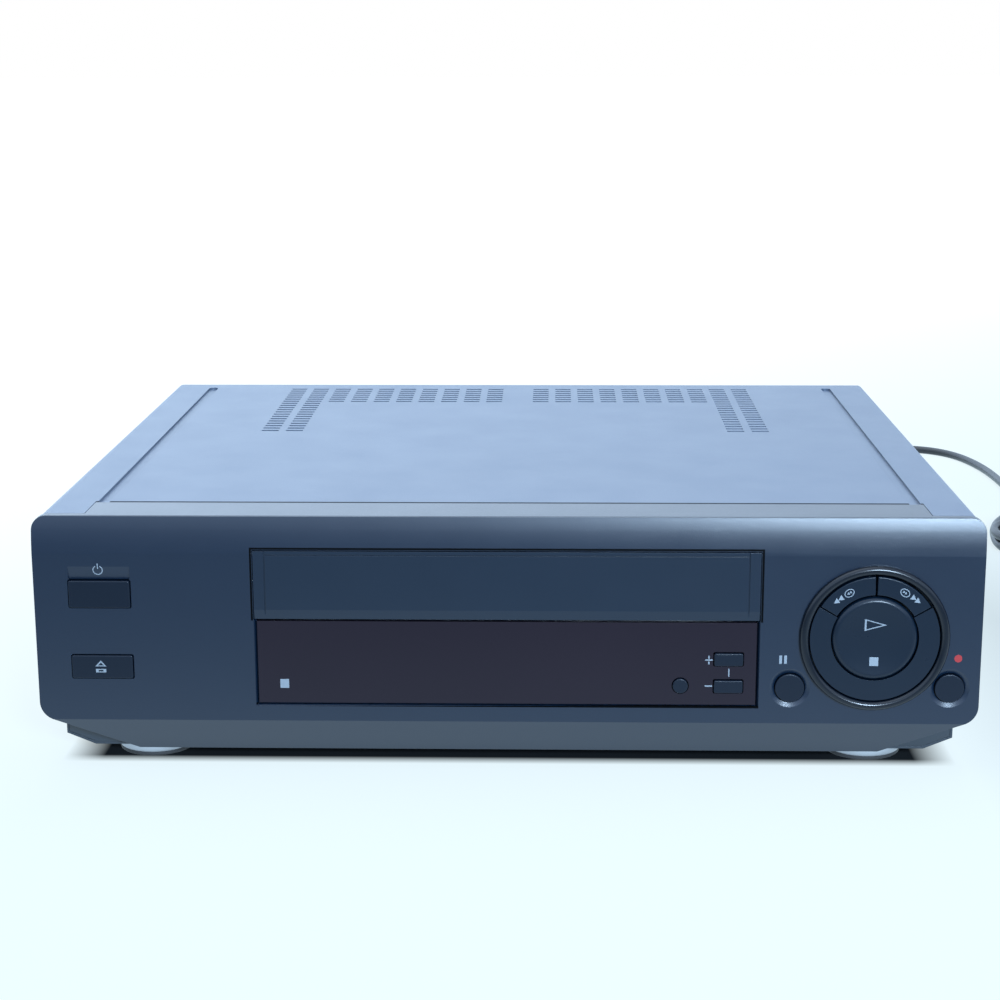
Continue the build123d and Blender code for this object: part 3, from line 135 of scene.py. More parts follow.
class Look(Wiring):  # one material
    def __init__(self, name, **fixed):
        self.material = bpy.data.materials.new(name)
        self.material.use_nodes = True
        super().__init__(self.material.node_tree)
        self.shader = self.tree.nodes["Principled BSDF"]
        for label, value in fixed.items():
            self.shader.inputs[label.replace("_", " ")].default_value = value

    def objectPlace(self):
        return self.add("ShaderNodeTexCoord", output="Object")

    def axes(self):
        return self.parts(self.objectPlace())

    def noise(self, scale, detail=2.0, stretch=(1, 1, 1)):
        vector = self.add("ShaderNodeMapping", {}, {"Vector": self.objectPlace(), "Scale": stretch})
        inputs = {"Vector": vector, "Scale": scale, "Detail": detail}
        return self.add("ShaderNodeTexNoise", {}, inputs)

    def grains(self, scale):
        vector = self.objectPlace()
        return self.add("ShaderNodeTexVoronoi", {}, {"Vector": vector, "Scale": scale})

    def blended(self, factor, first, second):  # sockets 6 and 7 and output 2 are the colours
        settings = {"data_type": "RGBA"}
        return self.add("ShaderNodeMix", settings, {0: factor, 6: first, 7: second}, 2)

    def rounded(self, radius):
        return self.add("ShaderNodeBevel", {"samples": 4}, {"Radius": radius})

    def bump(self, height, strength, deep, edge=0.0):  # deep and edge in millimetres
        inputs = {"Height": height, "Strength": strength, "Distance": deep * mm}
        if edge:
            inputs["Normal"] = self.rounded(edge * mm)
        self.set("Normal", self.add("ShaderNodeBump", {}, inputs))

    def roughness(self, middle, signal, spread):  # wanders about the middle value
        self.set("Roughness", signal * spread + (middle - spread / 2))

    def set(self, label, value):
        self.feed(self.shader.inputs[label], value)


def colour(red, green, blue):
    return (red, green, blue, 1.0)


def shade(tint, share):
    return colour(*[share * value for value in tint])


def mouldedPlastic(name, tint, rough=0.42, edge=0.25, grain=0.35, sheen=0.0, gloss=0.5):
    look = Look(name, Coat_Weight=sheen, Coat_Roughness=0.25, Specular_IOR_Level=gloss)
    drift = look.noise(14.0, 3.0)
    look.set("Base Color", look.blended(drift, shade(tint, 0.93), shade(tint, 1.07)))
    look.roughness(rough, look.noise(55.0, 4.0), 0.04)
    look.bump(look.grains(3600.0) + look.noise(5200.0, 1.0), grain, 0.04, edge)
    return look.material


def texturedPaint(name, tint, rough=0.46, grain=0.6, scale=1500.0, seamShade=None):
    coat = 0.15
    look = Look(name, Coat_Weight=coat, Coat_Roughness=0.35)
    crackle = look.grains(scale)
    mottle = look.noise(7.0, 3.0) * 0.5 + crackle * 0.10
    base = look.blended(mottle, shade(tint, 0.88), shade(tint, 1.12))
    finish = look.noise(40.0, 4.0) * 0.12 + (rough - 0.06)
    if seamShade:  # painted shade of the joint: dark and matt, soft at both edges
        x, y, _ = look.axes()
        front = y.between(behind(seamShade["front"] - seamShade["frontSoft"]), behind(seamShade["front"]))
        back = y.between(behind(seamShade["back"] + seamShade["backSoft"]), behind(seamShade["back"]))
        line = front * back * abs(x).under(seamShade["half"] * mm)
        base = look.blended(line, base, colour(*seamShade["tint"]))
        finish = finish + line * seamShade["rougher"]
        look.set("Coat Weight", coat - line * coat)
    look.set("Base Color", base)
    look.set("Roughness", finish)
    look.bump(crackle + look.noise(2600.0, 2.0), grain, 0.08, 0.3)
    return look.material


def sheetMetal(name, tint, rough=0.34):
    look = Look(name, Metallic=1.0)
    streak = look.noise(130.0, 5.0, (1, 14, 14))
    cloud = look.noise(18.0, 4.0)
    look.set("Base Color", look.blended(cloud, shade(tint, 0.86), colour(*tint)))
    look.set("Roughness", streak * 0.16 + cloud * 0.10 + (rough - 0.12))
    look.bump(streak, 0.15, 0.03, 0.15)
    return look.material


def rubber(name, tint, rough=0.62):
    look = Look(name)
    dust = look.noise(38.0, 5.0)
    look.set("Base Color", look.blended(dust.between(0.5, 0.95), colour(*tint), shade(tint, 3.2)))
    look.roughness(rough, dust, 0.14)
    look.bump(look.noise(2800.0, 2.0), 0.4, 0.05, 0.3)
    return look.material


def smokedAcrylic(name, dark, light):
    look = Look(name, Specular_IOR_Level=0.19)
    look.set("Base Color", look.blended(look.noise(9.0, 3.0), colour(*dark), colour(*light)))
    look.roughness(0.17, look.noise(120.0, 4.0), 0.10)
    look.bump(look.noise(30.0, 2.0), 0.04, 0.06, 0.2)
    return look.material


def circuitBoard(name, mask, track, pad):
    look = Look(name, Coat_Weight=0.4, Coat_Roughness=0.2)
    tracks = look.add(
        "ShaderNodeTexWave", {"wave_type": "BANDS", "bands_direction": "X"},
        {"Vector": look.objectPlace(), "Scale": 160.0, "Distortion": 6.0, "Detail": 1.0},
    )
    trackMask = tracks.over(0.62)
    pads = look.grains(330.0).under(0.10)
    x, _, _ = look.axes()
    weave = (x + look.noise(60.0, 2.0) * 0.0012) * 400
    ripple = weave.math("SINE", weave)
    resist = look.blended(trackMask, colour(*mask), colour(*track))
    look.set("Base Color", look.blended(pads, resist, colour(*pad)))
    look.set("Metallic", pads * 0.9)
    look.set("Roughness", 0.38 - trackMask * 0.06 + ripple * 0.01)
    look.bump(trackMask, 0.3, 0.03)
    return look.material


def turnedMetal(name, tint, rough=0.22):
    look = Look(name, Metallic=1.0)
    rings = look.noise(900.0, 2.0, (1, 1, 6))
    cloud = look.noise(25.0, 3.0)
    look.set("Base Color", look.blended(cloud, shade(tint, 0.9), colour(*tint)))
    look.roughness(rough, rings, 0.14)
    look.bump(rings, 0.12, 0.02, 0.2)
    return look.material


def printedInk(name, tint):
    look = Look(name)
    wear = look.noise(900.0, 3.0)
    look.set("Base Color", look.blended(wear, shade(tint, 0.82), colour(*tint)))
    look.roughness(0.52, wear, 0.2)
    look.bump(look.noise(4000.0, 1.0), 0.2, 0.02)
    return look.material


def tubeGlass(name, dark, light):
    look = Look(name, Coat_Weight=0.6, Coat_Roughness=0.04, IOR=1.5)
    _, _, z = look.axes()
    anode = look.noise(180.0, 3.0)
    look.set("Base Color", look.blended(anode, colour(*dark), colour(*light)))
    look.set("Roughness", z + 0.08)
    look.set("Alpha", anode * 0.1 + 0.82)
    return look.material


tints = {
    "front": (0.003, 0.012, 0.030),
    "door": (0.003, 0.012, 0.028),
    "key": (0.002, 0.007, 0.017),
    "cluster": (0.003, 0.010, 0.022),
    "ring": (0.001, 0.004, 0.010),
    # the cover's blue-grey is made lighter in part to stand for a painted sheen of the bright backdrop
    "cover": (0.108, 0.143, 0.212),
    "rear": (0.030, 0.033, 0.038),
    "chassis": (0.014, 0.024, 0.038),
    "windowDark": (0.013, 0.010, 0.017),
    "windowLight": (0.019, 0.013, 0.022),
    "foot": (0.44, 0.46, 0.50),
    "rubber": (0.022, 0.022, 0.024),
    "cord": (0.006, 0.007, 0.009),
    "solderMask": (0.012, 0.075, 0.030),
    "track": (0.020, 0.120, 0.045),
    "pad": (0.55, 0.53, 0.47),
    # painted shadow colour for the lines round the flap and the window
    "gap": (0.0006, 0.0010, 0.0016),
    "black": (0.016, 0.016, 0.018),
    "white": (0.66, 0.65, 0.60),
    "tubeDark": (0.02, 0.035, 0.033),
    "tubeLight": (0.06, 0.09, 0.085),
    "zinc": (0.56, 0.57, 0.56),
    "steel": (0.62, 0.62, 0.62),
    "drum": (0.78, 0.78, 0.79),
    "ink": (0.29, 0.34, 0.40),
    "red": (0.42, 0.025, 0.03),
    "brass": (0.70, 0.67, 0.58),
    "ringYellow": (0.70, 0.47, 0.03),
    "ringWhite": (0.72, 0.71, 0.68),
    "ringRed": (0.52, 0.03, 0.025),
}
flangeSeamShade = {  # painted shade: a dark line along the cover's front edge, where the shade of its joint with the front panel's flange falls
    "front": 27.15,
    "frontSoft": 0.2,
    "back": 28.85,
    "backSoft": 0.3,
    "half": 171.8,
    "tint": (0.004, 0.008, 0.014),
    "rougher": 0.5,
}
finishes = {
    "front": mouldedPlastic("satinSlate", tints["front"], 0.29),
    "door": mouldedPlastic("satinDoor", tints["door"], 0.29, gloss=0.45),
    "key": mouldedPlastic("satinKey", tints["key"], 0.32, 0.2, gloss=0.26),
    "cluster": mouldedPlastic("satinCluster", tints["cluster"], 0.28, 0.2, 0.2, gloss=0.28),
    "ring": mouldedPlastic("glossRing", tints["ring"], 0.20, 0.2, 0.06, 0.15, 0.28),
    "cover": texturedPaint("coverPaint", tints["cover"], seamShade=flangeSeamShade),
    "rear": texturedPaint("rearPaint", tints["rear"], 0.5, 0.4, 1200.0),
    "chassis": texturedPaint("chassisSteel", tints["chassis"], 0.42, 0.3, 1800.0),
    "window": smokedAcrylic("smokedAcrylic", tints["windowDark"], tints["windowLight"]),
    "foot": turnedMetal("footSilver", tints["foot"], 0.5),
    "rubber": rubber("blackRubber", tints["rubber"]),
    "cord": rubber("leadVinyl", tints["cord"], 0.40),
    "board": circuitBoard("solderMask", tints["solderMask"], tints["track"], tints["pad"]),
    "gap": mouldedPlastic("gapShade", tints["gap"], 0.6, 0.2, gloss=0.04),
    "black": mouldedPlastic("blackPlastic", tints["black"], 0.45, 0.2),
    "white": mouldedPlastic("naturalPlastic", tints["white"], 0.4, 0.2, 0.15),
    "tube": tubeGlass("tubeGlass", tints["tubeDark"], tints["tubeLight"]),
    "zinc": sheetMetal("zincSheet", tints["zinc"]),
    "steel": turnedMetal("polishedSteel", tints["steel"]),
    "drum": turnedMetal("turnedAluminium", tints["drum"], 0.18),
    "ink": printedInk("printGrey", tints["ink"]),
    "red": printedInk("printRed", tints["red"]),
    "brass": turnedMetal("nickelBrass", tints["brass"], 0.2),
    "ringYellow": mouldedPlastic("ringYellow", tints["ringYellow"], 0.4, 0.2, 0.15),
    "ringWhite": mouldedPlastic("ringWhite", tints["ringWhite"], 0.4, 0.2, 0.15),
    "ringRed": mouldedPlastic("ringRed", tints["ringRed"], 0.4, 0.2, 0.15),
}
print("finishes made:", len(finishes))

# which nodes of the frame wear each finish
nodeFinishes = {
    "front": ["front_panel"],
    "door": ["cassette_door"],
    "key": ["power_button", "eject_button", "pause_button", "record_button", "setup_button",
            "channel_up_button", "channel_down_button"],
    "cluster": ["control_surround", "rewind_button", "forward_button", "play_stop_rocker"],
    "ring": ["control_ring"],
    "cover": ["top_cover"],
    "rear": ["rear_panel"],
    "chassis": ["bottom_chassis"],
    "window": ["display_window"],
    "foot": ["front_feet"],
    "rubber": ["rubber_feet", "pinch_roller", "strain_relief"],
    "cord": ["power_cord", "cord_coil", "plug"],
    "board": ["front_board", "main_board", "power_board", "capstan_stator"],
    "black": ["board_components", "phono_sockets", "supply_reel_table", "takeup_reel_table",
              "tact_switches", "transformer"],
    "white": ["carriage_slider", "loader_pinion", "mode_cam", "motor_pinion", "ribbon_cables"],
    "tube": ["display_tube"],
    "zinc": ["cassette_holder", "deck_plate", "loader_frame", "pinch_arm", "shield_cans",
             "tension_arm", "tuner_box"],
    "steel": ["antenna_sockets", "capstan", "loading_motor", "screws", "supply_guide",
              "takeup_guide", "tape_heads"],
    "drum": ["heat_sink", "lower_drum", "upper_drum"],
}
for finish, worn in nodeFinishes.items():
    for node in worn:
        slots = nodes[node].data.materials
        slots.clear()
        slots.append(finishes[finish])
print("nodes finished")


# hand tools
def alone(piece):
    bpy.ops.object.select_all(action="DESELECT")
    piece.select_set(True)
    bpy.context.view_layer.objects.active = piece


def editing(on):
    bpy.ops.object.mode_set(mode="EDIT" if on else "OBJECT")


def settle(piece):  # place goes into the mesh
    alone(piece)
    bpy.ops.object.transform_apply(location=True, rotation=True, scale=True)


def smooth(piece):
    alone(piece)
    bpy.ops.object.shade_smooth_by_angle(angle=radians(35))


def cleaned(piece, weld):  # corners closer than the weld are merged, normals turned outwards
    alone(piece)
    editing(True)
    bpy.ops.mesh.select_all(action="SELECT")
    bpy.ops.mesh.remove_doubles(threshold=weld * mm)
    bpy.ops.mesh.normals_make_consistent(inside=False)
    editing(False)


def modified(piece, kind, **settings):
    alone(piece)
    modifier = piece.modifiers.new(kind.title(), kind)
    for label, value in settings.items():
        setattr(modifier, label, value)
    bpy.ops.object.modifier_apply(modifier=modifier.name)


def softened(piece, edge, angle):  # edges sharper than the angle are rounded
    modified(piece, "BEVEL", width=edge * mm, segments=2, limit_method="ANGLE", angle_limit=radians(angle))


def turned(centre, axis, stations, sides=48):
    # a turned solid: stations are (way along the axis, radius) in millimetres
    along = Vector({"Y": (0, 1, 0), "Z": (0, 0, 1)}[axis])
    turn = {"Y": (-pi / 2, 0, 0), "Z": (0, 0, 0)}[axis]
    way, radius = stations[0]
    bpy.ops.object.select_all(action="DESELECT")
    start = centre + along * way * mm
    bpy.ops.mesh.primitive_circle_add(
        vertices=sides, radius=radius * mm, fill_type="NGON", location=start, rotation=turn
    )
    piece = bpy.context.active_object
    settle(piece)
    editing(True)
    bpy.ops.mesh.select_all(action="SELECT")
    for nextWay, nextRadius in stations[1:]:
        move = along * (nextWay - way) * mm
        middle = centre + along * nextWay * mm
        ratio = nextRadius / radius
        bpy.ops.mesh.extrude_region_move(TRANSFORM_OT_translate={"value": move})
        bpy.ops.transform.resize(value=(ratio, ratio, ratio), center_override=middle)
        way, radius = nextWay, nextRadius
    bpy.ops.mesh.select_all(action="SELECT")
    bpy.ops.mesh.normals_make_consistent(inside=False)
    editing(False)
    return piece


def joined(pieces):
    bpy.ops.object.select_all(action="DESELECT")
    for piece in pieces:
        piece.select_set(True)
    bpy.context.view_layer.objects.active = pieces[0]
    bpy.ops.object.join()
    return bpy.context.active_object


def copied(piece):
    twin = piece.copy()
    twin.data = piece.data.copy()
    bpy.context.scene.collection.objects.link(twin)
    return twin


def named(piece, name, finish, body):
    piece.name = name
    piece.data.name = name
    piece.data.materials.clear()
    piece.data.materials.append(finishes[finish])
    settle(piece)
    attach(piece, body)
    return piece


def handedOver(piece, name, finish, body, slot, *replaced):
    smooth(piece)
    named(piece, name, finish, body)
    if replaced:
        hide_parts(*replaced)
    return piece


# printed signs: outlines are (x, z) on the front face, bars and ovals (x, z, wide, high)
signs = {
    "line": 0.42,
    "thick": 0.06,
    "proud": 0.03,
    "step": 0.8,
    "weld": 0.002,
    "startBefore": 12,
}


def corners(*places):  # a closed outline with its long sides divided
    outline = []
    for here, there in zip(places, places[1:] + places[:1]):
        run = Vector(there) - Vector(here)
        parts = max(1, round(run.length / signs["step"]))
        outline += [Vector(here) + run * part / parts for part in range(parts)]
    return outline


def oval(x, z, wide, high, count=28):
    turns = [2 * pi * step / count for step in range(count)]
    return [Vector((x + wide / 2 * cos(turn), z + high / 2 * sin(turn))) for turn in turns]


def bar(x, z, wide, high):
    left, right = x - wide / 2, x + wide / 2
    low, top = z - high / 2, z + high / 2
    return corners((left, low), (right, low), (right, top), (left, top))


def inset(places, line):  # the same corners, moved in by the width of the line
    middle = sum((Vector(place) for place in places), Vector((0, 0))) / len(places)
    sides = zip(places, places[1:] + places[:1])
    reach = min(abs((Vector(b) - Vector(a)).normalized().cross(middle - Vector(a))) for a, b in sides)
    return [tuple(middle + (Vector(place) - middle) * (1 - line / reach)) for place in places]


def hollow(places, line):
    return [corners(*places), corners(*inset(places, line))]


def turnedAbout(outline, centre, angle):
    middle = Vector(centre)
    turn = Matrix.Rotation(radians(angle), 2)
    return [middle + turn @ (point - middle) for point in outline]


def flatShape(name, outlines, thick):
    curve = bpy.data.curves.new(name, "CURVE")
    curve.dimensions = "2D"
    curve.fill_mode = "BOTH"
    curve.extrude = thick * mm / 2
    for outline in outlines:
        spline = curve.splines.new("POLY")
        spline.points.add(len(outline) - 1)
        for point, place in zip(spline.points, outline):
            point.co = (place[0] * mm, place[1] * mm, 0, 1)
        spline.use_cyclic_u = True
    piece = bpy.data.objects.new(name, curve)
    bpy.context.scene.collection.objects.link(piece)
    alone(piece)
    bpy.ops.object.convert(target="MESH")
    piece = bpy.context.active_object
    piece.rotation_euler = (pi / 2, 0, 0)
    settle(piece)
    cleaned(piece, signs["weld"])
    return piece


def printed(name, outlines, node, body, finish="ink"):
    piece = flatShape(name, outlines, signs["thick"])
    for vertex in piece.data.vertices:  # laid on the surface behind it
        start = Vector((vertex.co.x, behind(-signs["startBefore"]), vertex.co.z))
        hit, place, _, _ = nodes[node].ray_cast(start, Vector((0, 1, 0)))
        if hit:
            front = vertex.co.y < 0
            vertex.co.y = place.y + (-signs["proud"] if front else signs["thick"]) * mm
    return named(piece, name, finish, body)


power = {
    "centre": (-165.9, 84.9),
    "outer": 4.2,
    "inner": 3.4,
    "sides": 40,
    "open": (8, 13),
    "stroke": (-165.9, 86.6, 0.42, 2.3),
}


def openRing(wide):  # a circle left open at its top
    ring = oval(*power["centre"], wide, wide, power["sides"])
    start, end = power["open"]
    return ring[end:] + ring[:start]


powerRing = openRing(power["outer"]) + openRing(power["inner"])[::-1]
printed("powerSign", [powerRing, bar(*power["stroke"])], "front_panel", "machine")

play = [(144.8, 66.1), (144.8, 61.0), (153.8, 63.5)]
printed("playSign", hollow(play, signs["line"]), "play_stop_rocker", "play_stop_rocker")
stop = (149.0, 48.2, 3.6, 3.6)
printed("stopSign", [bar(*stop)], "play_stop_rocker", "play_stop_rocker")

# rewind and forward: two arrows, and two smaller ones inside an oval
arrows = {
    "large": {"outline": [(-1.15, 0.0), (1.05, 1.25), (1.05, -1.25)], "apart": 2.2},
    "small": {"outline": [(-0.55, 0.0), (0.45, 0.6), (0.45, -0.6)], "apart": 1.0},
}
winding = {
    "rewind_button": {"large": (133.9, 73.9), "small": (138.2, 76.9), "tilt": 36, "side": 1},
    "forward_button": {"large": (165.0, 74.2), "small": (160.5, 77.1), "tilt": -36, "side": -1},
}
windingOvals = [(4.3, 3.3), (3.6, 2.6)]
for key, mark in winding.items():
    outlines = []
    for kind, arrow in arrows.items():
        place = mark[kind]
        for shift in (-arrow["apart"] / 2, arrow["apart"] / 2):
            shape = [(place[0] + mark["side"] * x + shift, place[1] + z) for x, z in arrow["outline"]]
            outlines.append(turnedAbout(corners(*shape), place, mark["tilt"]))
    for wide, high in windingOvals:
        outlines.append(turnedAbout(oval(*mark["small"], wide, high), mark["small"], mark["tilt"]))
    printed(key.replace("_button", "Sign"), outlines, key, key)

pause = [(111.5, 48.4, 1.1, 3.5), (113.5, 48.4, 1.1, 3.5)]
printed("pauseSign", [bar(*place) for place in pause], "front_panel", "machine")
record = (183.3, 49.2, 3.2, 3.2)
printed("recordSign", [oval(*record)], "front_panel", "machine", "red")

channelSigns = {
    "plusSign": [(82.5, 47.9, 3.0, 0.55), (82.5, 49.1, 0.55, 1.2), (82.5, 46.7, 0.55, 1.2)],
    "minusSign": [(82.5, 36.8, 3.0, 0.55)],
    "channelBar": [(90.7, 42.5, 0.45, 3.4)],
}
for name, bars in channelSigns.items():
    printed(name, [bar(*place) for place in bars], "display_window", "machine")

eject = {
    "line": 0.4,
    "arrow": [(-168.5, 44.4), (-163.9, 44.4), (-166.2, 46.9)],
    "base": [(-168.3, 41.8), (-164.1, 41.8), (-164.1, 43.3), (-168.3, 43.3)],
}
ejectOutlines = hollow(eject["arrow"], eject["line"]) + hollow(eject["base"], eject["line"])
printed("ejectSign", ejectOutlines, "eject_button", "eject_button")

windowMark = (-91.0, 37.0, 3.6, 3.8)
printed("windowMark", [bar(*windowMark)], "display_window", "machine")

# painted shadow: dark lines laid round the flap and the window, just outside their openings, where the shade
# of the gaps falls
shadow = {
    "line": 0.8,
    "flapHalf": 103.2,
    "flapTop": 93.75,
    "middle": 64.0,
    "windowHalf": 102.2,
    "windowFoot": 28.3,
    "windowDrop": 0.3,
}
line = shadow["line"]
flapSide = shadow["flapHalf"] + line / 2
flapHigh = shadow["flapTop"] - shadow["middle"]
windowSide = shadow["windowHalf"] + line / 2
windowHigh = shadow["middle"] - shadow["windowFoot"]
windowMiddle = shadow["middle"] - windowHigh / 2 - shadow["windowDrop"]
gapShadowLines = [bar(0, shadow["flapTop"] + line / 2, 2 * flapSide + line, line)]
gapShadowLines += [bar(side * flapSide, shadow["flapTop"] - flapHigh / 2, line, flapHigh) for side in (-1, 1)]
gapShadowLines += [bar(side * windowSide, windowMiddle, line, windowHigh) for side in (-1, 1)]
gapShadowLines += [bar(0, shadow["windowFoot"] - line / 2, 2 * windowSide + line, line)]
for place, outline in enumerate(gapShadowLines, 1):
    printed(f"gapShadowLine{place}", [outline], "front_panel", "machine", "gap")
print("signs printed")

# feet: a silver dish on a black pad
feet = {
    "places": [(-150.4, 30.4), (150.4, 30.4)],
    "dish": [(0.7, 13.6), (0.9, 14.6), (1.5, 15.6), (2.6, 16.4), (3.9, 16.85), (5.3, 17.0)],
    "pad": [(0.0, 12.3), (0.35, 12.7), (1.0, 12.7)],
}
dishes = [turned(at(x, depth, 0), "Z", feet["dish"], 72) for x, depth in feet["places"]]
handedOver(joined(dishes), "footDishes", "foot", "machine", "foot_silver", "front_feet")
pads = [turned(at(x, depth, 0), "Z", feet["pad"], 64) for x, depth in feet["places"]]
handedOver(joined(pads), "footPads", "rubber", "machine", "black_rubber")
print("feet turned")

# plates that close the chassis corners behind the lip
cornerPlate = {
    "front": 14.8,
    "thick": 1.2,
    "edge": 0.3,
    "angle": 40,
    "outline": [(184.4, 19.0), (184.4, 11.0), (173.2, 6.4), (152, 6.4), (152, 19.0)],
}
for side, label in ((-1, "Left"), (1, "Right")):
    outline = [(side * x, z) for x, z in cornerPlate["outline"]]
    plate = flatShape("cornerPlate" + label, [outline], cornerPlate["thick"])
    plate.location = at(0, cornerPlate["front"], 0)
    settle(plate)
    softened(plate, cornerPlate["edge"], cornerPlate["angle"])
    handedOver(plate, "cornerPlate" + label, "chassis", "machine", "plated_steel")
print("corner plates cut")

# screws with a cross recess: places are on the face that each is driven into
screws = {
    "deck": {
        "radius": 3.0,
        "high": 1.8,
        "places": [(x, depth, 30) for x in (-88, 88) for depth in (58, 270)],
    },
    "side": {
        "radius": 3.2,
        "high": 1.6,
        "places": [(x, depth, 27.5) for x in (-190.2, 190.2) for depth in (70, 250)],
    },
    "rear": {
        "radius": 3.0,
        "high": 1.6,
        "places": [(x, 317, 11) for x in (-150, 0, 130)],
    },
}
recess = {"long": 3.7, "wide": 0.85, "deep": 1.0, "firstSpin": 0.3, "spin": 0.7}


def crossHead(radius, high):
    profile = [
        (0, 0.95 * radius), (0.1, radius), (0.5 * high, radius), (0.8 * high, 0.86 * radius),
        (high, 0.55 * radius),
    ]
    head = turned(Vector((0, 0, 0)), "Z", profile, 36)
    for turn in (0, pi / 2):
        bpy.ops.object.select_all(action="DESELECT")
        bpy.ops.mesh.primitive_cube_add(size=1, location=(0, 0, high * mm), rotation=(0, 0, turn))
        cutter = bpy.context.active_object
        cutter.scale = (recess["long"] * mm, recess["wide"] * mm, 2 * recess["deep"] * mm)
        settle(cutter)
        modified(head, "BOOLEAN", object=cutter, operation="DIFFERENCE", solver="EXACT")
        bpy.data.objects.remove(cutter)
    return head


def facing(group, x):  # turns a head from pointing up to pointing out of its face
    if group == "side":
        return Matrix.Rotation(pi / 2 if x > 0 else -pi / 2, 4, "Y")
    if group == "rear":
        return Matrix.Rotation(-pi / 2, 4, "X")
    return Matrix()


heads = []
for group, screw in screws.items():
    pattern = crossHead(screw["radius"], screw["high"])
    for count, (x, depth, z) in enumerate(screw["places"]):
        head = copied(pattern)
        spun = Matrix.Rotation(recess["spin"] * count + recess["firstSpin"], 4, "Z")
        head.data.transform(Matrix.Translation(at(x, depth, z)) @ facing(group, x) @ spun)
        heads.append(head)
    bpy.data.objects.remove(pattern)
handedOver(joined(heads), "crossScrews", "steel", "machine", "plated_steel", "screws")
print("screws made")

# rear sockets: profiles are (way out of the panel, radius)
phono = {
    "x": (-98, -82, -66),
    "z": (28, 44),
    "depth": 317.8,
    "colours": ("ringYellow", "ringWhite", "ringRed"),
    "barrel": [(-2.0, 4.19), (7.4, 4.19), (7.64, 3.95), (7.64, 3.45), (1.0, 3.4), (1.0, 0.1)],
    "liner": [(1.1, 3.38), (6.9, 3.38), (6.9, 1.75), (2.0, 1.65), (2.0, 0.1)],
    "collar": [(-1.7, 5.34), (0.0, 5.34), (0.03, 5.2), (0.03, 4.25), (-0.5, 4.22), (-0.5, 0.1)],
}
barrels = []
for column, x in enumerate(phono["x"]):
    collars, liners = [], []
    for z in phono["z"]:
        centre = at(x, phono["depth"], z)
        barrels.append(turned(centre, "Y", phono["barrel"], 40))
        liners.append(turned(centre, "Y", phono["liner"], 32))
        collars.append(turned(centre, "Y", phono["collar"], 40))
    ringColour = phono["colours"][column]
    handedOver(joined(collars + liners), f"phonoCollars{column + 1}", ringColour, "machine", "white_plastic")
handedOver(joined(barrels), "phonoBarrels", "brass", "machine", "plated_steel")

aerial = {
    "x": (-166, -138),
    "z": 32,
    "depth": 317,
    "root": [(-1.2, 4.7), (0.0, 4.7), (0.05, 6.2), (0.2, 6.4), (1.2, 6.4), (1.4, 6.2), (1.41, 4.5)],
    "thread": {"from": 1.5, "to": 8.2, "pitch": 0.8, "low": 4.42, "high": 4.69},
    "mouth": [(8.7, 4.5), (9.0, 4.2), (9.0, 3.75), (3.2, 3.7), (3.2, 1.5), (3.19, 0.1)],
    "pin": [(3.0, 0.5), (6.6, 0.5), (7.2, 0.3)],
}
thread = aerial["thread"]
threadProfile = []
way = thread["from"]
while way < thread["to"]:
    threadProfile += [(way, thread["low"]), (way + 0.5 * thread["pitch"], thread["high"])]
    way += thread["pitch"]
aerials = []
for x in aerial["x"]:
    centre = at(x, aerial["depth"], aerial["z"])
    aerials.append(turned(centre, "Y", aerial["root"] + threadProfile + aerial["mouth"], 48))
    aerials.append(turned(centre, "Y", aerial["pin"], 16))
handedOver(joined(aerials), "aerialSockets", "brass", "machine", "plated_steel", "antenna_sockets")
print("sockets made")

# strain relief: a ribbed taper behind a collar
relief = {
    "centre": (162, 314, 42),
    "length": 29,
    "collar": [(0, 4.0), (1.9, 4.0), (2.1, 4.0), (3.2, 6.4), (3.6, 6.8), (4.6, 6.8)],
    "ribs": 6,
    "ribsFrom": 5.4,
    "plain": 6.5,
    "ribShare": 0.62,
    "root": 6.0,
    "tip": 3.4,
    "groove": 0.75,
    "chamfer": 0.25,
    "taper": 0.12,
    "end": [(-0.6, 3.3), (0, 3.0)],
}
profile = list(relief["collar"])
pitch = (relief["length"] - relief["plain"]) / relief["ribs"]
for rib in range(relief["ribs"]):
    low = relief["ribsFrom"] + pitch * rib
    high = relief["ribsFrom"] + pitch * (rib + relief["ribShare"])
    wide = relief["root"] + (relief["tip"] - relief["root"]) * rib / (relief["ribs"] - 1)
    core = wide - relief["groove"]
    profile += [(low, core), (low + relief["chamfer"], wide)]
    profile += [(high, wide - relief["taper"]), (high + relief["chamfer"], core)]
profile += [(relief["length"] + way, radius) for way, radius in relief["end"]]
sleeve = turned(at(*relief["centre"]), "Y", profile, 40)
handedOver(sleeve, "ribbedRelief", "rubber", "machine", "black_rubber", "strain_relief")

# mains plug: the solid's own shape with soft edges, and bright blades
plug = {"edge": 0.5, "angle": 30, "weld": 0.005, "bladesFrom": 430.05}
mainsPlug = copied(nodes["plug"])
for label in list(mainsPlug.keys()):
    del mainsPlug[label]
cleaned(mainsPlug, plug["weld"])
softened(mainsPlug, plug["edge"], plug["angle"])
handedOver(mainsPlug, "mainsPlug", "cord", "machine", "cord_rubber", "plug")
mainsPlug.data.materials.append(finishes["brass"])
for face in mainsPlug.data.polygons:
    if face.center.y > behind(plug["bladesFrom"]):
        face.material_index = 1
print("plug and relief made")

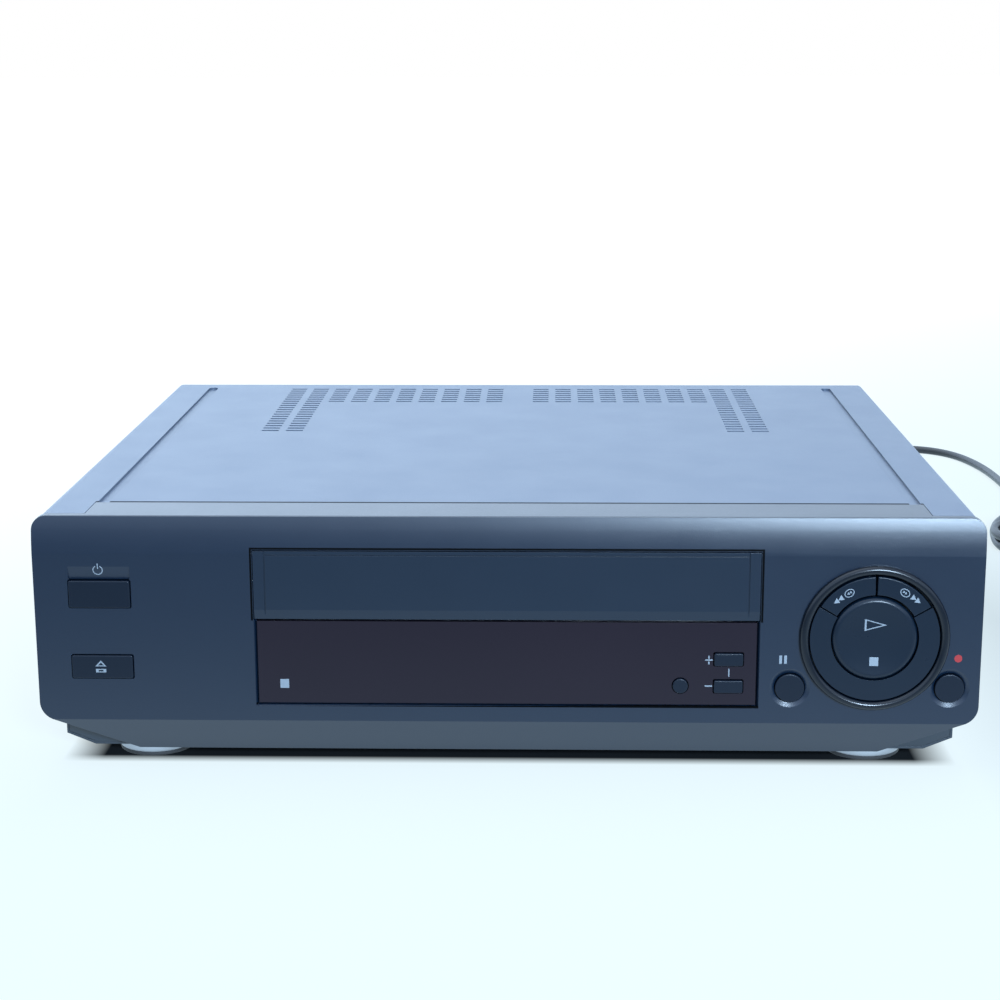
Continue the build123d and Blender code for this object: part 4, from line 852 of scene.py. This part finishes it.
# mains lead: a listed route, then a coil wound in, up and out again
lead = {
    "diameter": 5.2,
    "length": 1.73,
    "floor": 2.7,
    "route": [
        (162, 343, 42), (162, 368, 42), (164, 396, 29), (167, 424, 10), (170, 457, 2.7), (177, 505, 2.7),
        (191, 559, 2.7), (216, 611, 2.7), (250, 648, 2.7), (281, 657, 2.7), (306, 638, 2.7), (318, 595, 2.7),
        (321.5, 541, 2.7), (319, 492, 2.7), (307, 452, 2.7), (289, 420, 2.7),
    ],
    "coilAt": (317.0, 380.0),
    "lean": 14,
    "outer": 36.4,
    "inner": 23.4,
    "layer": 5.35,
    "turns": 2.4,
    "climb": 0.41,
    "perTurn": 14,
    "plugLead": [(337, 342.5, 5.4), (352, 344, 3.2), (372, 353, 5.0), (386.5, 377, 7.5), (386.5, 400, 7.5)],
}


def coilPoints():
    points = []
    total = 2 * lead["turns"] + lead["climb"]
    steps = round(total * lead["perTurn"])
    swell = 1 / cos(pi / lead["perTurn"])
    for step in range(steps + 1):
        done = total * step / steps
        angle = pi + 2 * pi * done + radians(lead["lean"])
        down = min(done / lead["turns"], 1.0)
        up = min(max((done - lead["turns"] - lead["climb"]) / lead["turns"], 0.0), 1.0)
        rise = min(max((done - lead["turns"]) / lead["climb"], 0.0), 1.0)
        radius = lead["outer"] + (lead["inner"] - lead["outer"]) * (down - up)
        x = lead["coilAt"][0] + radius * swell * cos(angle)
        depth = lead["coilAt"][1] + radius * swell * sin(angle)
        points.append((x, depth, lead["floor"] + lead["layer"] * rise))
    return points


leadPoints = lead["route"] + coilPoints() + lead["plugLead"]
leadCurve = bpy.data.curves.new("mainsLead", "CURVE")
leadCurve.dimensions = "3D"
spline = leadCurve.splines.new("NURBS")
spline.points.add(len(leadPoints) - 1)
for point, place in zip(spline.points, leadPoints):
    point.co = (*at(*place), 1.0)
spline.order_u = 3
spline.use_endpoint_u = True
spline.resolution_u = 8
leadCurve.bevel_depth = lead["diameter"] * mm / 2
leadCurve.bevel_resolution = 4
leadCurve.use_fill_caps = True
mainsLead = bpy.data.objects.new("mainsLead", leadCurve)
bpy.context.scene.collection.objects.link(mainsLead)
leadCurve.materials.append(finishes["cord"])
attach(mainsLead, "machine")
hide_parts("power_cord", "cord_coil")
print("lead laid:", len(leadPoints), "points")

# floor: a zone goes from its first value, where it is 0, to its second, where it is 1, in metres
ground = {
    "size": 30.0,
    "diffuse": (0.12, 0.14, 0.15),
    "diffuseInShadow": (0.02, 0.022, 0.024),
    "near": (0.84, 0.955, 0.99),
    "far": (1, 1, 1),
    "mirrored": (0.66, 0.86, 1.0),
    "slant": 1.1,
    "farther": (0.0, 1.3),
    "nearer": (-0.42, -0.18),
    "beneathFront": (-0.154, -0.146),
    "beneathSideSquared": (0.0350, 0.0289),
    "beneathBack": (0.175, 0.150),
    "besideLeft": (0.19, 0.25),
    "besideRight": (0.50, 0.27),
    "besideFront": (-0.32, -0.12),
    "besideBack": (0.30, 0.06),
    "seen": 0.43,
    "seenFarther": 0.2,
    "seenShadeBeside": 0.24,
    "glow": 0.45,
    "mirroredGlow": 1.1,
}
floorLook = Look("paleFloor")
floorX, floorY, _ = floorLook.axes()
cameraRay = floorLook.add("ShaderNodeLightPath", output="Is Camera Ray")
glossyRay = floorLook.add("ShaderNodeLightPath", output="Is Glossy Ray")
farther = (floorY - floorX * ground["slant"]).between(*ground["farther"])
nearer = floorY.between(*ground["nearer"])
# painted shadow under the machine: the floor's glow is taken away and its colour darkened there
shadowBeneath = floorY.between(*ground["beneathFront"]) * floorY.between(*ground["beneathBack"])
shadowBeneath = shadowBeneath * (floorX * floorX).between(*ground["beneathSideSquared"])
# painted shade on the floor to the right of the machine: the brightness seen by the camera is lowered there
shadeBeside = floorX.between(*ground["besideLeft"]) * floorX.between(*ground["besideRight"])
shadeBeside = shadeBeside * floorY.between(*ground["besideFront"]) * floorY.between(*ground["besideBack"])
seen = cameraRay * (farther * ground["seenFarther"] - shadeBeside * ground["seenShadeBeside"] + ground["seen"])
strength = (1.0 - shadowBeneath) * (seen + ground["glow"]) + glossyRay * nearer * ground["mirroredGlow"]
seenTone = floorLook.blended(farther, colour(*ground["near"]), colour(*ground["far"]))
glowTone = floorLook.blended(glossyRay, seenTone, colour(*ground["mirrored"]))
diffuseTone = floorLook.blended(shadowBeneath, colour(*ground["diffuse"]), colour(*ground["diffuseInShadow"]))
diffuse = floorLook.add("ShaderNodeBsdfDiffuse", {}, {"Color": diffuseTone})
glow = floorLook.add("ShaderNodeEmission", {}, {"Color": glowTone, "Strength": strength})
both = floorLook.add("ShaderNodeAddShader", {}, {0: diffuse, 1: glow})
floorLook.feed(floorLook.tree.nodes["Material Output"].inputs["Surface"], both)
bpy.ops.object.select_all(action="DESELECT")
bpy.ops.mesh.primitive_plane_add(size=ground["size"], location=(0, 0, 0))
floor = bpy.context.active_object
floor.name = "paleFloor"
floor.data.materials.append(floorLook.material)

# room and lamps: places in metres; a zone of the room is told by one axis of the direction
studio = {
    "world": (0.62, 0.79, 1.0),
    "low": 0.42,
    "high": 0.95,
    "upward": (-0.1, 0.9),
    "frontShare": 0.22,
    "backward": (-0.5, 0.4),
    "mirrored": 2.9,
    "mirroredRight": 1.7,
    "rightward": (-0.25, 0.3),
    "mirroredBack": (-0.3, 0.3),
    "mirroredLeast": 0.06,
    "mirroredHigh": 2.4,
    "highUp": (-0.05, 0.35),
    "highAhead": (0.1, -0.3),
    "lampTint": (0.84, 0.93, 1.0),
    "lamps": {
        "topLight": {"place": (-0.3, 0.3, 1.9), "size": (2.6, 2.2), "power": 26.0, "aim": (0, 0, 0.05)},
        "windowLight": {
            "place": (0.58, -1.83, 0.74),
            "size": (0.42, 0.34),
            "power": 50.0,
            "aim": (0.15, -0.16, 0.1),
            "tint": (0.58, 0.78, 1.0),
        },
    },
}
world = bpy.data.worlds.new("paleRoom")
bpy.context.scene.world = world
world.use_nodes = True
room = Wiring(world.node_tree)
sky = world.node_tree.nodes["Background"]
roomX, roomY, roomZ = room.parts(room.add("ShaderNodeTexCoord"))
seenRay = room.add("ShaderNodeLightPath", output="Is Camera Ray")
mirrorRay = room.add("ShaderNodeLightPath", output="Is Glossy Ray")
upward = roomZ.between(*studio["upward"]) * (studio["high"] - studio["low"]) + studio["low"]
backward = roomY.between(*studio["backward"]) * (1 - studio["frontShare"]) + studio["frontShare"]
lit = upward * backward
rightFall = studio["mirroredRight"] - studio["mirrored"]
rightward = roomX.between(*studio["rightward"]) * rightFall + studio["mirrored"]
ahead = roomZ.between(*studio["highUp"]) * roomY.between(*studio["highAhead"]) * studio["mirroredHigh"]
mirrored = roomY.between(*studio["mirroredBack"]) * rightward + ahead + studio["mirroredLeast"]
room.feed(sky.inputs["Color"], colour(*studio["world"]))
room.feed(sky.inputs["Strength"], lit + mirrorRay * (mirrored - lit))
plain = room.add("ShaderNodeBackground", {}, {"Color": colour(1, 1, 1)})
either = room.add("ShaderNodeMixShader", {}, {0: seenRay, 1: Signal(room, sky.outputs[0]), 2: plain})
room.feed(world.node_tree.nodes["World Output"].inputs["Surface"], either)
for name, lamp in studio["lamps"].items():
    data = bpy.data.lights.new(name, "AREA")
    data.shape = "RECTANGLE"
    data.size, data.size_y = lamp["size"]
    data.energy = lamp["power"]
    data.color = lamp.get("tint", studio["lampTint"])
    light = bpy.data.objects.new(name, data)
    bpy.context.scene.collection.objects.link(light)
    light.location = lamp["place"]
    reach = Vector(lamp["aim"]) - Vector(lamp["place"])
    light.rotation_euler = reach.to_track_quat("-Z", "Y").to_euler()
    light.visible_camera = False
bpy.context.scene.view_settings.view_transform = "Standard"
print("floor and light set")

tuple(at(162, 343, 42))
